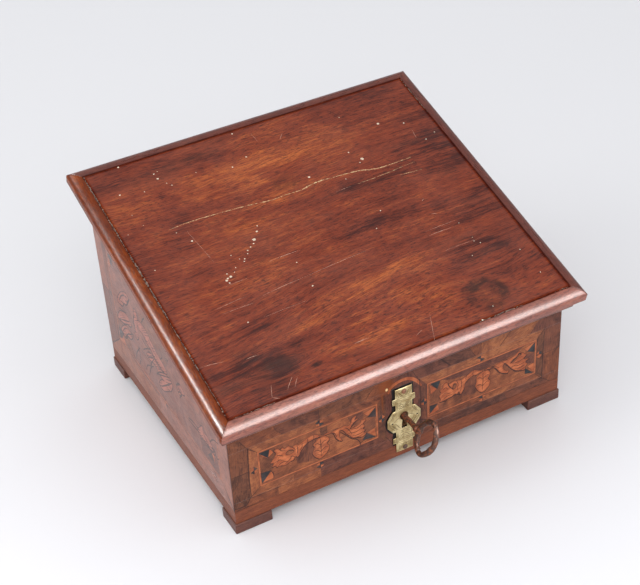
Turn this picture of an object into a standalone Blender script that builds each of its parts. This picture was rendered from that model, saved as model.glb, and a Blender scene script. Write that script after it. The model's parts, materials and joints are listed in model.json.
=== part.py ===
"""Slope-top writing box with marquetry panels, a hinged lid, a lock and its key.

Axes: +X to the right, +Y to the back, +Z up. The front of the box, with the lock, faces -Y.
The origin is on the floor, under the middle of the whole object, its key included.
"""

import math

import bpy
import bmesh
from mathutils import Matrix, Vector

# Gap between two pieces that touch
TOUCH = 0.0003

# Carcase, with its veneers
BODY_WIDTH = 0.400
BODY_DEPTH = 0.324
FRONT_HEIGHT = 0.150
LID_SLOPE = math.radians(16.0)
BOTTOM_THICKNESS = 0.016
FRONT_BOARD = 0.012
BACK_BOARD = 0.012
SIDE_BOARD = 0.011
VENEER = 0.0015

# Feet
FOOT_WIDTH = 0.042
FOOT_DEPTH = 0.032
FOOT_HEIGHT = 0.013
FOOT_PROUD = 0.0015
FOOT_EASING = 0.001

# Cornice round the top of the carcase
CORNICE_PROUD = 0.0085
CORNICE_FILLET = 0.003
CORNICE_COVE = 0.009
CORNICE_BEAD = 0.008
CORNICE_BACK = 0.0035

# Lid: a board in a frame of mitred mouldings
LID_THICKNESS = 0.0135
LID_LENGTH = 0.353
LID_FRONT_OVERHANG = 0.012
MOULDING_WIDTH = 0.0148
MOULDING_FLAT = 0.0022
MOULDING_DROP = 0.0078
MOULDING_EASING = 0.0006
CURVE_STEPS = 6

# Hinges
HINGE_SPREAD = 0.240
HINGE_WIDTH = 0.040
HINGE_MIDDLE = 0.0154
HINGE_LEAF = 0.0012
HINGE_BODY_REACH = 0.024
HINGE_LID_REACH = 0.016
PIN_RADIUS = 0.0012
PIN_CLEARANCE = 0.0003
KNUCKLE_RADIUS = 0.0029
ROUND_SIDES = 16

# Escutcheon
PLATE_THICKNESS = 0.0016
PLATE_TOP = 0.105
PLATE_BOTTOM = 0.020
PLATE_NECK = 0.0102
PLATE_EAR = 0.0138
PLATE_LOBE = 0.0203
PLATE_EAR_HEIGHT = 0.0083
PLATE_END_HEIGHT = 0.012
PLATE_LOBE_HEIGHT = 0.029
PLATE_LOBE_FLAT = 0.010
PLATE_EASING = 0.0007
NAIL_INSET = 0.0045
NAIL_HEAD = 0.0030
NAIL_HEAD_HEIGHT = 0.0016
NAIL_SHANK = 0.0009
NAIL_LENGTH = 0.009

# Keyhole and key
KEY_HEIGHT = 0.0672
HOLE_RADIUS = 0.0051
SLOT_DEPTH = 0.0165
SLOT_TOP_WIDTH = 0.0040
SLOT_FOOT_WIDTH = 0.0072
SHAFT_RADIUS = 0.0034
SHAFT_REACH = 0.0275
COLLAR_RADIUS = 0.0046
COLLAR_LENGTH = 0.0040
BOW_LENGTH = 0.034
BOW_WIDTH = 0.043
BOW_WIRE = 0.0052
BOW_TURN = math.radians(28.0)
BIT_LENGTH = 0.008
BIT_DROP = 0.011
BIT_THICKNESS = 0.0024
KEY_END_GAP = 0.002

# Lock case and the staple under the lid
LOCK_WIDTH = 0.070
LOCK_DEPTH = 0.016
LOCK_BOTTOM = 0.048
LOCK_TOP_DROP = 0.008
LOCK_WALL = 0.0015
STAPLE_WIDTH = 0.014
STAPLE_THICKNESS = 0.003
STAPLE_LENGTH = 0.018
STAPLE_FOOT = 0.012
STAPLE_SETBACK = 0.003
STAPLE_PLAY = 0.0025

# Planes of the carcase, measured from the middle of the body
FRONT_FACE = -BODY_DEPTH / 2
BACK_FACE = BODY_DEPTH / 2
SIDE_FACE = BODY_WIDTH / 2
FLOOR_TOP = FOOT_HEIGHT + BOTTOM_THICKNESS
WALLS_FOOT = FLOOR_TOP + TOUCH
FRONT_BOARD_FACE = FRONT_FACE + VENEER + TOUCH
FRONT_BOARD_BACK = FRONT_BOARD_FACE + FRONT_BOARD
BACK_BOARD_FRONT = BACK_FACE - BACK_BOARD
SIDE_BOARD_FACE = SIDE_FACE - VENEER - TOUCH
SIDE_BOARD_INNER = SIDE_BOARD_FACE - SIDE_BOARD

# The lid turns about the hinge pins, which lie in the angle of the back and the lid's underside
PIN_OFFSET = KNUCKLE_RADIUS + TOUCH
PIN_Y = BACK_FACE + PIN_OFFSET


def underside(y):
    """Height of the lid's underside over the line at depth y."""
    return FRONT_HEIGHT + (y - FRONT_FACE) * math.tan(LID_SLOPE) + TOUCH / math.cos(LID_SLOPE)


def wall_top(y):
    """Height of the carcase's bevelled top edge at depth y."""
    return underside(y) - TOUCH / math.cos(LID_SLOPE)


PIN_Z = underside(PIN_Y) - PIN_OFFSET / math.cos(LID_SLOPE)

# In the lid's own frame: y along the slope and z square to it, both from the pins
LID_UNDER = PIN_OFFSET
LID_TOP = LID_UNDER + LID_THICKNESS
LID_FRONT = -((PIN_Y - FRONT_FACE + LID_FRONT_OVERHANG) - LID_TOP * math.sin(LID_SLOPE)) / math.cos(LID_SLOPE)
LID_BACK = LID_FRONT + LID_LENGTH


def arc(centre, radii, start, end, steps):
    """Points on an ellipse about centre, from angle start to angle end in degrees."""
    points = []
    for i in range(steps + 1):
        angle = math.radians(start + (end - start) * i / steps)
        points.append((centre[0] + radii[0] * math.cos(angle), centre[1] + radii[1] * math.sin(angle)))
    return points


def lid_profile():
    """Section of the lid's moulding: outwards from the board, and up from its underside."""
    round_width = MOULDING_WIDTH - MOULDING_FLAT
    thumb = arc((MOULDING_FLAT, LID_THICKNESS - MOULDING_DROP), (round_width, MOULDING_DROP), 90, 0, CURVE_STEPS)
    return [(TOUCH, 0.0), (TOUCH, LID_THICKNESS), *thumb, (MOULDING_WIDTH, MOULDING_EASING),
            (MOULDING_WIDTH - MOULDING_EASING, 0.0)]


def cornice_profile():
    """Section of the cornice: outwards from the veneer, and down square to the lid."""
    cove_foot = CORNICE_FILLET + CORNICE_COVE
    bead_radius = CORNICE_BEAD / 2
    bead_axis = CORNICE_PROUD - bead_radius
    hollow = arc((CORNICE_PROUD, cove_foot), (CORNICE_PROUD - CORNICE_BACK, CORNICE_COVE), 270, 180, CURVE_STEPS)
    bead = arc((bead_axis, cove_foot + bead_radius), (bead_radius, bead_radius), -90, 90, 2 * CURVE_STEPS)
    return [(TOUCH, 0.0), (CORNICE_PROUD, 0.0), *hollow, *bead, (TOUCH, cove_foot + CORNICE_BEAD)]


def back_reach():
    """Depth of the lid's rearmost edge, from the middle of the body."""
    reaches = [
        PIN_Y + (LID_BACK + out) * math.cos(LID_SLOPE) - (LID_UNDER + up) * math.sin(LID_SLOPE)
        for out, up in lid_profile()
    ]
    return max(reaches)


KEY_REACH = SHAFT_REACH + BOW_LENGTH
BODY_Y = ((-FRONT_FACE + KEY_REACH) - back_reach()) / 2


def clear_scene():
    """Remove the objects of the open scene."""
    for obj in list(bpy.data.objects):
        bpy.data.objects.remove(obj, do_unlink=True)


def collection(name):
    """New collection in the scene."""
    group = bpy.data.collections.new(name)
    bpy.context.scene.collection.children.link(group)
    return group


def material(name, colour, roughness, metallic=0.0):
    """Principled material with one colour."""
    result = bpy.data.materials.new(name)
    result.use_nodes = True
    shader = result.node_tree.nodes["Principled BSDF"]
    shader.inputs["Base Color"].default_value = (*colour, 1.0)
    shader.inputs["Roughness"].default_value = roughness
    shader.inputs["Metallic"].default_value = metallic
    return result


def place(obj, name, group, parent, finish=None):
    """Name an object, move it to a collection and hang it on its parent."""
    obj.name = name
    if obj.data:
        obj.data.name = name
    for old in list(obj.users_collection):
        old.objects.unlink(obj)
    group.objects.link(obj)
    obj.parent = parent
    if finish:
        obj.data.materials.clear()
        obj.data.materials.append(finish)
    return obj


def cuboid(low, high):
    """Box between two corners, with its origin in its middle and its scale applied."""
    low, high = Vector(low), Vector(high)
    bpy.ops.mesh.primitive_cube_add(size=1.0, location=(low + high) / 2)
    obj = bpy.context.active_object
    for vertex in obj.data.vertices:
        vertex.co = Vector(a * b for a, b in zip(vertex.co, high - low))
    return obj


def rod(radius, start, end, axis, centre):
    """Cylinder along X or Y, between two places on that axis."""
    bpy.ops.mesh.primitive_cylinder_add(vertices=ROUND_SIDES, radius=radius, depth=end - start)
    obj = bpy.context.active_object
    middle = (start + end) / 2
    if axis == "X":
        turn = Matrix.Rotation(math.radians(90), 4, "Y")
        place_at = Vector((middle, centre[0], centre[1]))
    else:
        turn = Matrix.Rotation(math.radians(90), 4, "X")
        place_at = Vector((centre[0], middle, centre[1]))
    obj.data.transform(turn)
    obj.location = place_at
    return obj


def sheet(points, depth, matrix):
    """Flat outline extruded evenly to both sides, as a 2D curve, with its frame given by matrix."""
    curve = bpy.data.curves.new("outline", "CURVE")
    curve.dimensions = "2D"
    curve.fill_mode = "BOTH"
    curve.extrude = depth / 2
    spline = curve.splines.new("POLY")
    spline.points.add(len(points) - 1)
    for point, (x, y) in zip(spline.points, points):
        point.co = (x, y, 0.0, 1.0)
    spline.use_cyclic_u = True
    obj = bpy.data.objects.new("outline", curve)
    bpy.context.scene.collection.objects.link(obj)
    obj.matrix_world = matrix
    return obj


def as_mesh(obj):
    """Turn a curve into a mesh with its caps joined on, in the same place."""
    bpy.context.view_layer.update()
    graph = bpy.context.evaluated_depsgraph_get()
    mesh = bpy.data.meshes.new_from_object(obj.evaluated_get(graph))
    work = bmesh.new()
    work.from_mesh(mesh)
    bmesh.ops.remove_doubles(work, verts=work.verts, dist=1e-6)
    bmesh.ops.recalc_face_normals(work, faces=work.faces)
    work.to_mesh(mesh)
    work.free()
    result = bpy.data.objects.new(obj.name, mesh)
    bpy.context.scene.collection.objects.link(result)
    result.matrix_world = obj.matrix_world.copy()
    bpy.data.objects.remove(obj, do_unlink=True)
    return result


def across(x_middle):
    """Frame for an outline of depths and heights that is extruded along X."""
    return Matrix(((0, 0, 1, x_middle), (1, 0, 0, 0), (0, 1, 0, 0), (0, 0, 0, 1)))


def facing(y_middle):
    """Frame for an outline of widths and heights that is extruded along Y."""
    return Matrix(((1, 0, 0, 0), (0, 0, -1, y_middle), (0, 1, 0, 0), (0, 0, 0, 1)))


def boolean(obj, cutter, operation, cutters):
    """Cut an object by another, or join the other to it, with the exact solver."""
    modifier = obj.modifiers.new(operation.title(), "BOOLEAN")
    modifier.operation = operation
    modifier.object = cutter
    modifier.solver = "EXACT"
    if cutter.name not in cutters.objects:
        for old in list(cutter.users_collection):
            old.objects.unlink(cutter)
        cutters.objects.link(cutter)
    cutter.hide_render = True
    cutter.display_type = "WIRE"
    cutter.parent = obj.parent
    return modifier


def mitred(profile, length, frame, mitres):
    """Moulding along its frame's z, whose ends grow or shrink with the distance outwards."""
    obj = as_mesh(sheet(profile, length, frame))
    for vertex in obj.data.vertices:
        end = 0 if vertex.co.z < 0 else 1
        vertex.co.z += (1 if end else -1) * mitres[end] * vertex.co.x
    return obj


def upright_slab(depths, widths):
    """Board between two depths and two widths, whose top edge follows the lid."""
    front, back = depths
    outline = [(front, WALLS_FOOT), (back, WALLS_FOOT), (back, wall_top(back)), (front, wall_top(front))]
    return sheet(outline, widths[1] - widths[0], across(sum(widths) / 2))


def plate_outline():
    """Outline of the escutcheon: neck, ears and a pointed lobe, the same on both sides."""
    ear_top = PLATE_TOP - PLATE_END_HEIGHT
    ear_foot = ear_top - PLATE_EAR_HEIGHT
    low_ear_foot = PLATE_BOTTOM + PLATE_END_HEIGHT
    low_ear_top = low_ear_foot + PLATE_EAR_HEIGHT
    middle = (PLATE_TOP + PLATE_BOTTOM) / 2
    lobe_top = middle + PLATE_LOBE_HEIGHT / 2
    lobe_foot = middle - PLATE_LOBE_HEIGHT / 2
    flat = PLATE_LOBE_FLAT / 2
    ease = PLATE_EASING
    half = [
        (PLATE_NECK, PLATE_TOP), (PLATE_NECK, ear_top), (PLATE_EAR, ear_top - ease),
        (PLATE_EAR, ear_foot + ease), (PLATE_NECK, ear_foot), (PLATE_NECK, lobe_top),
        (PLATE_EAR, lobe_top - ease), (PLATE_LOBE, middle + flat), (PLATE_LOBE, middle - flat),
        (PLATE_EAR, lobe_foot + ease), (PLATE_NECK, lobe_foot), (PLATE_NECK, low_ear_top),
        (PLATE_EAR, low_ear_top - ease), (PLATE_EAR, low_ear_foot + ease), (PLATE_NECK, low_ear_foot),
        (PLATE_NECK, PLATE_BOTTOM),
    ]
    return half + [(-x, z) for x, z in reversed(half)]


def keyhole_outline():
    """Round hole with a slot that widens downwards."""
    top_angle = math.degrees(math.asin(SLOT_TOP_WIDTH / 2 / HOLE_RADIUS))
    ring = arc((0.0, KEY_HEIGHT), (HOLE_RADIUS, HOLE_RADIUS), -90 + top_angle, 270 - top_angle, ROUND_SIDES)
    foot = KEY_HEIGHT - SLOT_DEPTH
    return [*ring, (-SLOT_FOOT_WIDTH / 2, foot), (SLOT_FOOT_WIDTH / 2, foot)]


def build_carcase(parts, body, wood, pale, dark):
    """Bottom, four boards, three veneers and the feet."""
    bottom = cuboid((-SIDE_FACE, FRONT_FACE, FOOT_HEIGHT), (SIDE_FACE, BACK_FACE, FLOOR_TOP))
    place(bottom, "bottom_board", parts, body, wood)

    inner_front = FRONT_BOARD_BACK + TOUCH
    inner_back = BACK_BOARD_FRONT - TOUCH
    veneer_back = FRONT_FACE + VENEER
    full = (-SIDE_BOARD_FACE, SIDE_BOARD_FACE)
    right = (SIDE_BOARD_INNER, SIDE_BOARD_FACE)
    left = (-SIDE_BOARD_FACE, -SIDE_BOARD_INNER)
    right_skin = (SIDE_FACE - VENEER, SIDE_FACE)
    left_skin = (-SIDE_FACE, -SIDE_FACE + VENEER)
    boards = {
        "front_board": ((FRONT_BOARD_FACE, FRONT_BOARD_BACK), full, pale),
        "back_board": ((BACK_BOARD_FRONT, BACK_FACE), full, wood),
        "left_side_board": ((inner_front, inner_back), left, pale),
        "right_side_board": ((inner_front, inner_back), right, pale),
        "front_veneer": ((FRONT_FACE, veneer_back), (-SIDE_FACE, SIDE_FACE), wood),
        "left_veneer": ((veneer_back + TOUCH, BACK_FACE), left_skin, wood),
        "right_veneer": ((veneer_back + TOUCH, BACK_FACE), right_skin, wood),
    }
    made = {}
    for name, (depths, widths, finish) in boards.items():
        made[name] = place(as_mesh(upright_slab(depths, widths)), name, parts, body, finish)

    for x_side, x_word in ((-1, "left"), (1, "right")):
        for y_side, y_word in ((-1, "front"), (1, "back")):
            x_out = x_side * (SIDE_FACE + FOOT_PROUD)
            y_out = y_side * (BODY_DEPTH / 2 + FOOT_PROUD)
            x_in = x_out - x_side * FOOT_WIDTH
            y_in = y_out - y_side * FOOT_DEPTH
            top = FOOT_HEIGHT - TOUCH
            foot = cuboid((min(x_out, x_in), min(y_out, y_in), 0.0), (max(x_out, x_in), max(y_out, y_in), top))
            easing = foot.modifiers.new("Easing", "BEVEL")
            easing.width = FOOT_EASING
            easing.segments = 2
            place(foot, f"foot_{y_word}_{x_word}", parts, body, dark)
    return made


def cornice_point(out, down):
    """Place of a cornice point over the mitre: its depth, and its height there."""
    y = FRONT_FACE - out
    return y, wall_top(y) - down / math.cos(LID_SLOPE)


def build_cornice(parts, body, wood):
    """Three mouldings under the lid: one on the front and one up each raking side."""
    front = [cornice_point(out, down) for out, down in cornice_profile()]
    obj = as_mesh(sheet(front, 2 * SIDE_FACE, across(0.0)))
    for vertex in obj.data.vertices:
        vertex.co.z += math.copysign(FRONT_FACE - vertex.co.x, vertex.co.z)
    place(obj, "front_cornice", parts, body, wood)

    cosine = math.cos(LID_SLOPE)
    run = BODY_DEPTH / cosine
    start_y, start_z = FRONT_FACE, wall_top(FRONT_FACE)
    for side, word in ((-1, "left"), (1, "right")):
        outline = [(side * out, -down) for out, down in cornice_profile()]
        frame = Matrix(((1, 0, 0, side * SIDE_FACE), (0, -math.sin(LID_SLOPE), cosine, start_y),
                        (0, cosine, math.sin(LID_SLOPE), start_z), (0, 0, 0, 1)))
        obj = as_mesh(sheet(outline, run, frame))
        for vertex in obj.data.vertices:
            out = abs(vertex.co.x)
            down = -vertex.co.y
            lean = down * math.tan(LID_SLOPE)
            at_front = vertex.co.z < 0
            vertex.co.z = -(out + TOUCH) / cosine - lean if at_front else run - lean
            if at_front:
                vertex.co.z += 2 * TOUCH
        flip_inward(obj)
        place(obj, f"{word}_cornice", parts, body, wood)


def flip_inward(obj):
    """Make every face of a closed mesh point outwards."""
    work = bmesh.new()
    work.from_mesh(obj.data)
    bmesh.ops.recalc_face_normals(work, faces=work.faces)
    work.to_mesh(obj.data)
    work.free()


def build_lid(parts, pivot, wood):
    """Lid board and its four mitred mouldings, in the frame of the slope."""
    board = cuboid((-SIDE_FACE, LID_FRONT, LID_UNDER), (SIDE_FACE, LID_BACK, LID_TOP))
    place(board, "lid_board", parts, pivot, wood)

    middle = (LID_FRONT + LID_BACK) / 2
    runs = {
        "lid_moulding_front": (0.0, LID_FRONT, 0),
        "lid_moulding_right": (SIDE_FACE, middle, 90),
        "lid_moulding_back": (0.0, LID_BACK, 180),
        "lid_moulding_left": (-SIDE_FACE, middle, 270),
    }
    for name, (x, y, turn) in runs.items():
        length = BODY_WIDTH if turn in (0, 180) else LID_LENGTH
        frame = Matrix(((0, 0, 1, 0), (-1, 0, 0, 0), (0, 1, 0, LID_UNDER), (0, 0, 0, 1)))
        spin = Matrix.Translation((x, y, 0.0)) @ Matrix.Rotation(math.radians(turn), 4, "Z")
        obj = mitred(lid_profile(), length - TOUCH, spin @ frame, (1.0, 1.0))
        flip_inward(obj)
        place(obj, name, parts, pivot, wood)


def hinge_leaf(group, cutters, reach, outer):
    """Leaf hanging down from the pin, with the two outer knuckles or the middle one."""
    half = HINGE_WIDTH / 2
    middle = HINGE_MIDDLE / 2
    if outer:
        runs = [(-half, -middle - TOUCH), (middle + TOUCH, half)]
    else:
        runs = [(-middle, middle)]
    face = -KNUCKLE_RADIUS
    back = face + HINGE_LEAF
    leaf = cuboid((-half, face, -reach), (half, back, -KNUCKLE_RADIUS - TOUCH))
    for start, end in runs:
        strap = cuboid((start, face, -KNUCKLE_RADIUS - 2 * TOUCH), (end, back, 0.0))
        boolean(leaf, strap, "UNION", cutters)
        knuckle = rod(KNUCKLE_RADIUS, start, end, "X", (0.0, 0.0))
        boolean(leaf, knuckle, "UNION", cutters)
    bore = rod(PIN_RADIUS + PIN_CLEARANCE, -HINGE_WIDTH, HINGE_WIDTH, "X", (0.0, 0.0))
    boolean(leaf, bore, "DIFFERENCE", cutters)
    bpy.context.view_layer.update()
    graph = bpy.context.evaluated_depsgraph_get()
    mesh = bpy.data.meshes.new_from_object(leaf.evaluated_get(graph))
    mesh.transform(leaf.matrix_world)
    for cutter in [modifier.object for modifier in leaf.modifiers]:
        bpy.data.objects.remove(cutter, do_unlink=True)
    bpy.data.objects.remove(leaf, do_unlink=True)
    result = bpy.data.objects.new("leaf", mesh)
    group.objects.link(result)
    return result


def build_hinges(parts, cutters, body, pivot, iron):
    """Two butt hinges in the angle of the back and the lid."""
    for side, word in ((-1, "left"), (1, "right")):
        x = side * HINGE_SPREAD / 2
        lower = hinge_leaf(parts, cutters, HINGE_BODY_REACH, True)
        place(lower, f"hinge_{word}_body_leaf", parts, body, iron)
        lower.location = (x, PIN_Y, PIN_Z)
        upper = hinge_leaf(parts, cutters, HINGE_LID_REACH, False)
        upper.data.transform(Matrix.Rotation(math.radians(90), 4, "X"))
        upper.data.transform(Matrix.Scale(-1, 4, (0, 0, 1)))
        flip_inward(upper)
        place(upper, f"hinge_{word}_lid_leaf", parts, pivot, iron)
        upper.location = (x, 0.0, 0.0)
        pin = rod(PIN_RADIUS, -HINGE_WIDTH / 2, HINGE_WIDTH / 2, "X", (0.0, 0.0))
        place(pin, f"hinge_{word}_pin", parts, body, iron)
        pin.location = (x, PIN_Y, PIN_Z)


def build_lock(parts, cutters, body, pivot, made, finishes):
    """Escutcheon with its nails, key, lock case and the staple on the lid."""
    brass, iron = finishes
    plate_face = FRONT_FACE - TOUCH - PLATE_THICKNESS
    plate = as_mesh(sheet(plate_outline(), PLATE_THICKNESS, facing(FRONT_FACE - TOUCH - PLATE_THICKNESS / 2)))
    place(plate, "escutcheon", parts, body, brass)

    hole = as_mesh(sheet(keyhole_outline(), 4 * FRONT_BOARD, facing(FRONT_FACE)))
    hole.name = "keyhole_cutter"
    nails = {"upper": PLATE_TOP - NAIL_INSET, "lower": PLATE_BOTTOM + NAIL_INSET}
    head_face = plate_face - TOUCH - NAIL_HEAD_HEIGHT
    drilled = [plate, made["front_veneer"], made["front_board"]]
    for obj in drilled:
        boolean(obj, hole, "DIFFERENCE", cutters)
    for word, height in nails.items():
        bore = rod(NAIL_SHANK + TOUCH, head_face, head_face + NAIL_LENGTH + FRONT_BOARD / 2, "Y", (0.0, height))
        bore.name = f"nail_{word}_cutter"
        for obj in (*drilled, bpy.data.objects["bottom_board"]):
            boolean(obj, bore, "DIFFERENCE", cutters)
        nail = nail_mesh(parts, head_face)
        place(nail, f"escutcheon_nail_{word}", parts, body, iron)
        nail.location = (0.0, 0.0, height)

    build_key(parts, cutters, body, iron)
    build_lock_case(parts, cutters, body, pivot, iron)


def nail_mesh(group, head_face):
    """Round-headed nail pointing to the back: one turned profile."""
    back = head_face + NAIL_HEAD_HEIGHT
    dome = arc((0.0, back), (NAIL_HEAD, NAIL_HEAD_HEIGHT), -90, 0, 4)
    points = [*dome, (NAIL_SHANK, back), (NAIL_SHANK, back + NAIL_LENGTH), (0.0, back + NAIL_LENGTH + NAIL_SHANK)]
    mesh = bpy.data.meshes.new("nail")
    mesh.from_pydata([(r, y, 0.0) for r, y in points], [(i, i + 1) for i in range(len(points) - 1)], [])
    nail = bpy.data.objects.new("nail", mesh)
    group.objects.link(nail)
    screw = nail.modifiers.new("Turn", "SCREW")
    screw.axis = "Y"
    screw.steps = 12
    screw.render_steps = 12
    screw.use_merge_vertices = True
    screw.merge_threshold = 0.00001
    screw.use_normal_calculate = True
    screw.use_normal_flip = True
    return nail


def build_key(parts, cutters, body, iron):
    """Key: shaft with a collar, an oval bow and a flat bit inside the lock."""
    lock_back = FRONT_BOARD_BACK + TOUCH + LOCK_DEPTH - LOCK_WALL
    tip = lock_back - KEY_END_GAP
    centre = (0.0, KEY_HEIGHT)
    bow_start = FRONT_FACE - SHAFT_REACH
    shaft = rod(SHAFT_RADIUS, bow_start - BOW_WIRE / 2, tip, "Y", centre)
    collar = rod(COLLAR_RADIUS, bow_start, bow_start + COLLAR_LENGTH, "Y", centre)
    bit_front = tip - KEY_END_GAP - BIT_LENGTH
    bit_half = BIT_THICKNESS / 2
    bit = cuboid((-bit_half, bit_front, KEY_HEIGHT - BIT_DROP), (bit_half, bit_front + BIT_LENGTH, KEY_HEIGHT))

    minor = BOW_WIRE / 2
    bpy.ops.mesh.primitive_torus_add(
        major_segments=32, minor_segments=8, major_radius=1.0 - minor, minor_radius=minor, location=(0, 0, 0))
    bow = bpy.context.active_object
    shape_bow(bow)
    bow.location = (0.0, FRONT_FACE - KEY_REACH + BOW_LENGTH / 2, KEY_HEIGHT)
    bow.rotation_euler = (0.0, BOW_TURN, 0.0)
    place(shaft, "key", parts, body, iron)
    for other in (collar, bit, bow):
        boolean(shaft, other, "UNION", cutters)


def shape_bow(bow):
    """Stretch a ring of radius 1 in its XY plane into the oval bow, keeping its wire round."""
    minor = BOW_WIRE / 2
    long_radius = BOW_WIDTH / 2 - minor
    short_radius = BOW_LENGTH / 2 - minor
    for vertex in bow.data.vertices:
        x, y, z = vertex.co
        length = math.hypot(x, y)
        cosine, sine = x / length, y / length
        out = length - (1.0 - minor)
        vertex.co = Vector((z, (short_radius + out) * cosine, (long_radius + out) * sine))
    flip_inward(bow)


def build_lock_case(parts, cutters, body, pivot, iron):
    """Lock case, open towards the board, with a slot for the staple that hangs from the lid."""
    front = FRONT_BOARD_BACK + TOUCH
    back = front + LOCK_DEPTH
    top = FRONT_HEIGHT - LOCK_TOP_DROP
    half = LOCK_WIDTH / 2
    case = cuboid((-half, front, LOCK_BOTTOM), (half, back, top))
    place(case, "lock_case", parts, body, iron)
    hollow = cuboid((-half + LOCK_WALL, front - LOCK_WALL, LOCK_BOTTOM + LOCK_WALL),
                    (half - LOCK_WALL, back - LOCK_WALL, top - LOCK_WALL))
    hollow.name = "lock_hollow_cutter"
    boolean(case, hollow, "DIFFERENCE", cutters)

    reach = STAPLE_LENGTH * math.sin(LID_SLOPE)
    tongue_front = front + STAPLE_SETBACK
    slot_half = STAPLE_WIDTH / 2 + STAPLE_PLAY
    slot = cuboid((-slot_half, tongue_front, top - 2 * LOCK_WALL),
                  (slot_half, tongue_front + reach + STAPLE_THICKNESS + STAPLE_PLAY, top + LOCK_WALL))
    slot.name = "lock_slot_cutter"
    boolean(case, slot, "DIFFERENCE", cutters)

    drop = PIN_Z - underside(tongue_front)
    along = -((PIN_Y - tongue_front) * math.cos(LID_SLOPE) + drop * math.sin(LID_SLOPE))
    face = LID_UNDER - TOUCH
    outline = [
        (along, face), (along, face - STAPLE_LENGTH), (along + STAPLE_THICKNESS, face - STAPLE_LENGTH),
        (along + STAPLE_THICKNESS, face - LOCK_WALL), (along + STAPLE_FOOT, face - LOCK_WALL),
        (along + STAPLE_FOOT, face),
    ]
    staple = as_mesh(sheet(outline, STAPLE_WIDTH, across(0.0)))
    place(staple, "lid_staple", parts, pivot, iron)


def main():
    """Build the whole box."""
    clear_scene()
    parts = collection("writing_box")
    cutters = collection("cutters")
    body = bpy.data.objects.new("body", None)
    parts.objects.link(body)
    body.location = (0.0, BODY_Y, 0.0)
    pivot = bpy.data.objects.new("lid_pivot", None)
    parts.objects.link(pivot)
    pivot.parent = body
    pivot.location = (0.0, PIN_Y, PIN_Z)
    pivot.rotation_euler = (LID_SLOPE, 0.0, 0.0)

    walnut = material("walnut", (0.26, 0.10, 0.055), 0.35)
    pale = material("carcase_wood", (0.30, 0.17, 0.09), 0.6)
    dark = material("dark_walnut", (0.16, 0.06, 0.04), 0.4)
    lid_wood = material("lid_wood", (0.22, 0.06, 0.03), 0.3)
    brass = material("brass", (0.45, 0.36, 0.16), 0.4, 1.0)
    iron = material("iron", (0.14, 0.08, 0.06), 0.6, 0.8)

    made = build_carcase(parts, body, walnut, pale, dark)
    build_cornice(parts, body, walnut)
    build_lid(parts, pivot, lid_wood)
    build_hinges(parts, cutters, body, pivot, iron)
    build_lock(parts, cutters, body, pivot, made, (brass, iron))


main()
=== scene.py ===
"""Dresses the slope-top writing box: veneers, marquetry, mouldings, lock plate, key and the wear on them."""

import json
import math

import bmesh
import bpy
import numpy as np
from mathutils import Matrix, Vector


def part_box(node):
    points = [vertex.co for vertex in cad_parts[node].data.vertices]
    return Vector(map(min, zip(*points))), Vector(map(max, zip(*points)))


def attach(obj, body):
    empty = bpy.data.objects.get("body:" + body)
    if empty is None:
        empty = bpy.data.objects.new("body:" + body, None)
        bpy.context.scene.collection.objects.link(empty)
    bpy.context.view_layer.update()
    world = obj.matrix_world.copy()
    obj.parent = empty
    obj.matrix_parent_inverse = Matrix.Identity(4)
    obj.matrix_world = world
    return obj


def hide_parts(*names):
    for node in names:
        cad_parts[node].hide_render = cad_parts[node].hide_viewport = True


bl_info = {
    "name": "Writing Box Dressing",
    "version": (1, 0, 0),
    "blender": (4, 5, 0),
    "location": "View3D > Sidebar > Writing Box",
    "description": "Adds the veneers, mouldings, lock plate, key and wear of a slope-top writing box",
    "category": "Add Mesh",
}

MM = 0.001
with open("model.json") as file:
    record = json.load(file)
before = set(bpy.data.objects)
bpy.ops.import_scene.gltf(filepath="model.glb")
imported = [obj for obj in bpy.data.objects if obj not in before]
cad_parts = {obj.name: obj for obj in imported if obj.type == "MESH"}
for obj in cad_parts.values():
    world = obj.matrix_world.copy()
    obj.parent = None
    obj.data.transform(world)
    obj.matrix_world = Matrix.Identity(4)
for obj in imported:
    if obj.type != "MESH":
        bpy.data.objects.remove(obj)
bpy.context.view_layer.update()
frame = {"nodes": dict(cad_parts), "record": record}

# Planes of the carcase, in metres
FRONT_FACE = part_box("front_veneer")[0].y
BACK_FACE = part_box("back_board")[1].y
MIDDLE = (FRONT_FACE + BACK_FACE) / 2
SIDE_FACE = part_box("front_veneer")[1].x
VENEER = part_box("front_veneer")[1].y - FRONT_FACE
GAP = 0.0003

# The lid's slope and its middle, from the mount on its top
LID_TOP = next(mount for mount in frame["record"]["mounts"] if mount["name"] == "lid_top")
LID_NORMAL = np.array(LID_TOP["axis"])
LID_MIDDLE = np.array(LID_TOP["pos_m"])
SLOPE = math.atan2(-LID_NORMAL[1], LID_NORMAL[2])
LID_ALONG = np.array((0.0, math.cos(SLOPE), math.sin(SLOPE)))
LID_THICKNESS = 0.0135
LID_LENGTH = 0.353
LID_FRONT_EDGE = LID_MIDDLE - LID_ALONG * LID_LENGTH / 2

# Width of the moulding round the lid, in millimetres
MOULDING_REACH = 14.8


# Shapes in numbers

def on_front(x, z, out=0.0):
    """Point of the front face at x and height z in millimetres, out of the face by out."""
    x, z, out = np.broadcast_arrays(x, z, out)
    return np.stack((x * MM, FRONT_FACE - out * MM, z * MM), -1)


def on_side(side, a, z, out=0.0):
    """Point of a side face, a millimetres to the front of the middle and z up."""
    a, z, out = np.broadcast_arrays(a, z, out)
    return np.stack((side * (SIDE_FACE + out * MM), MIDDLE - a * MM, z * MM), -1)


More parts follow.
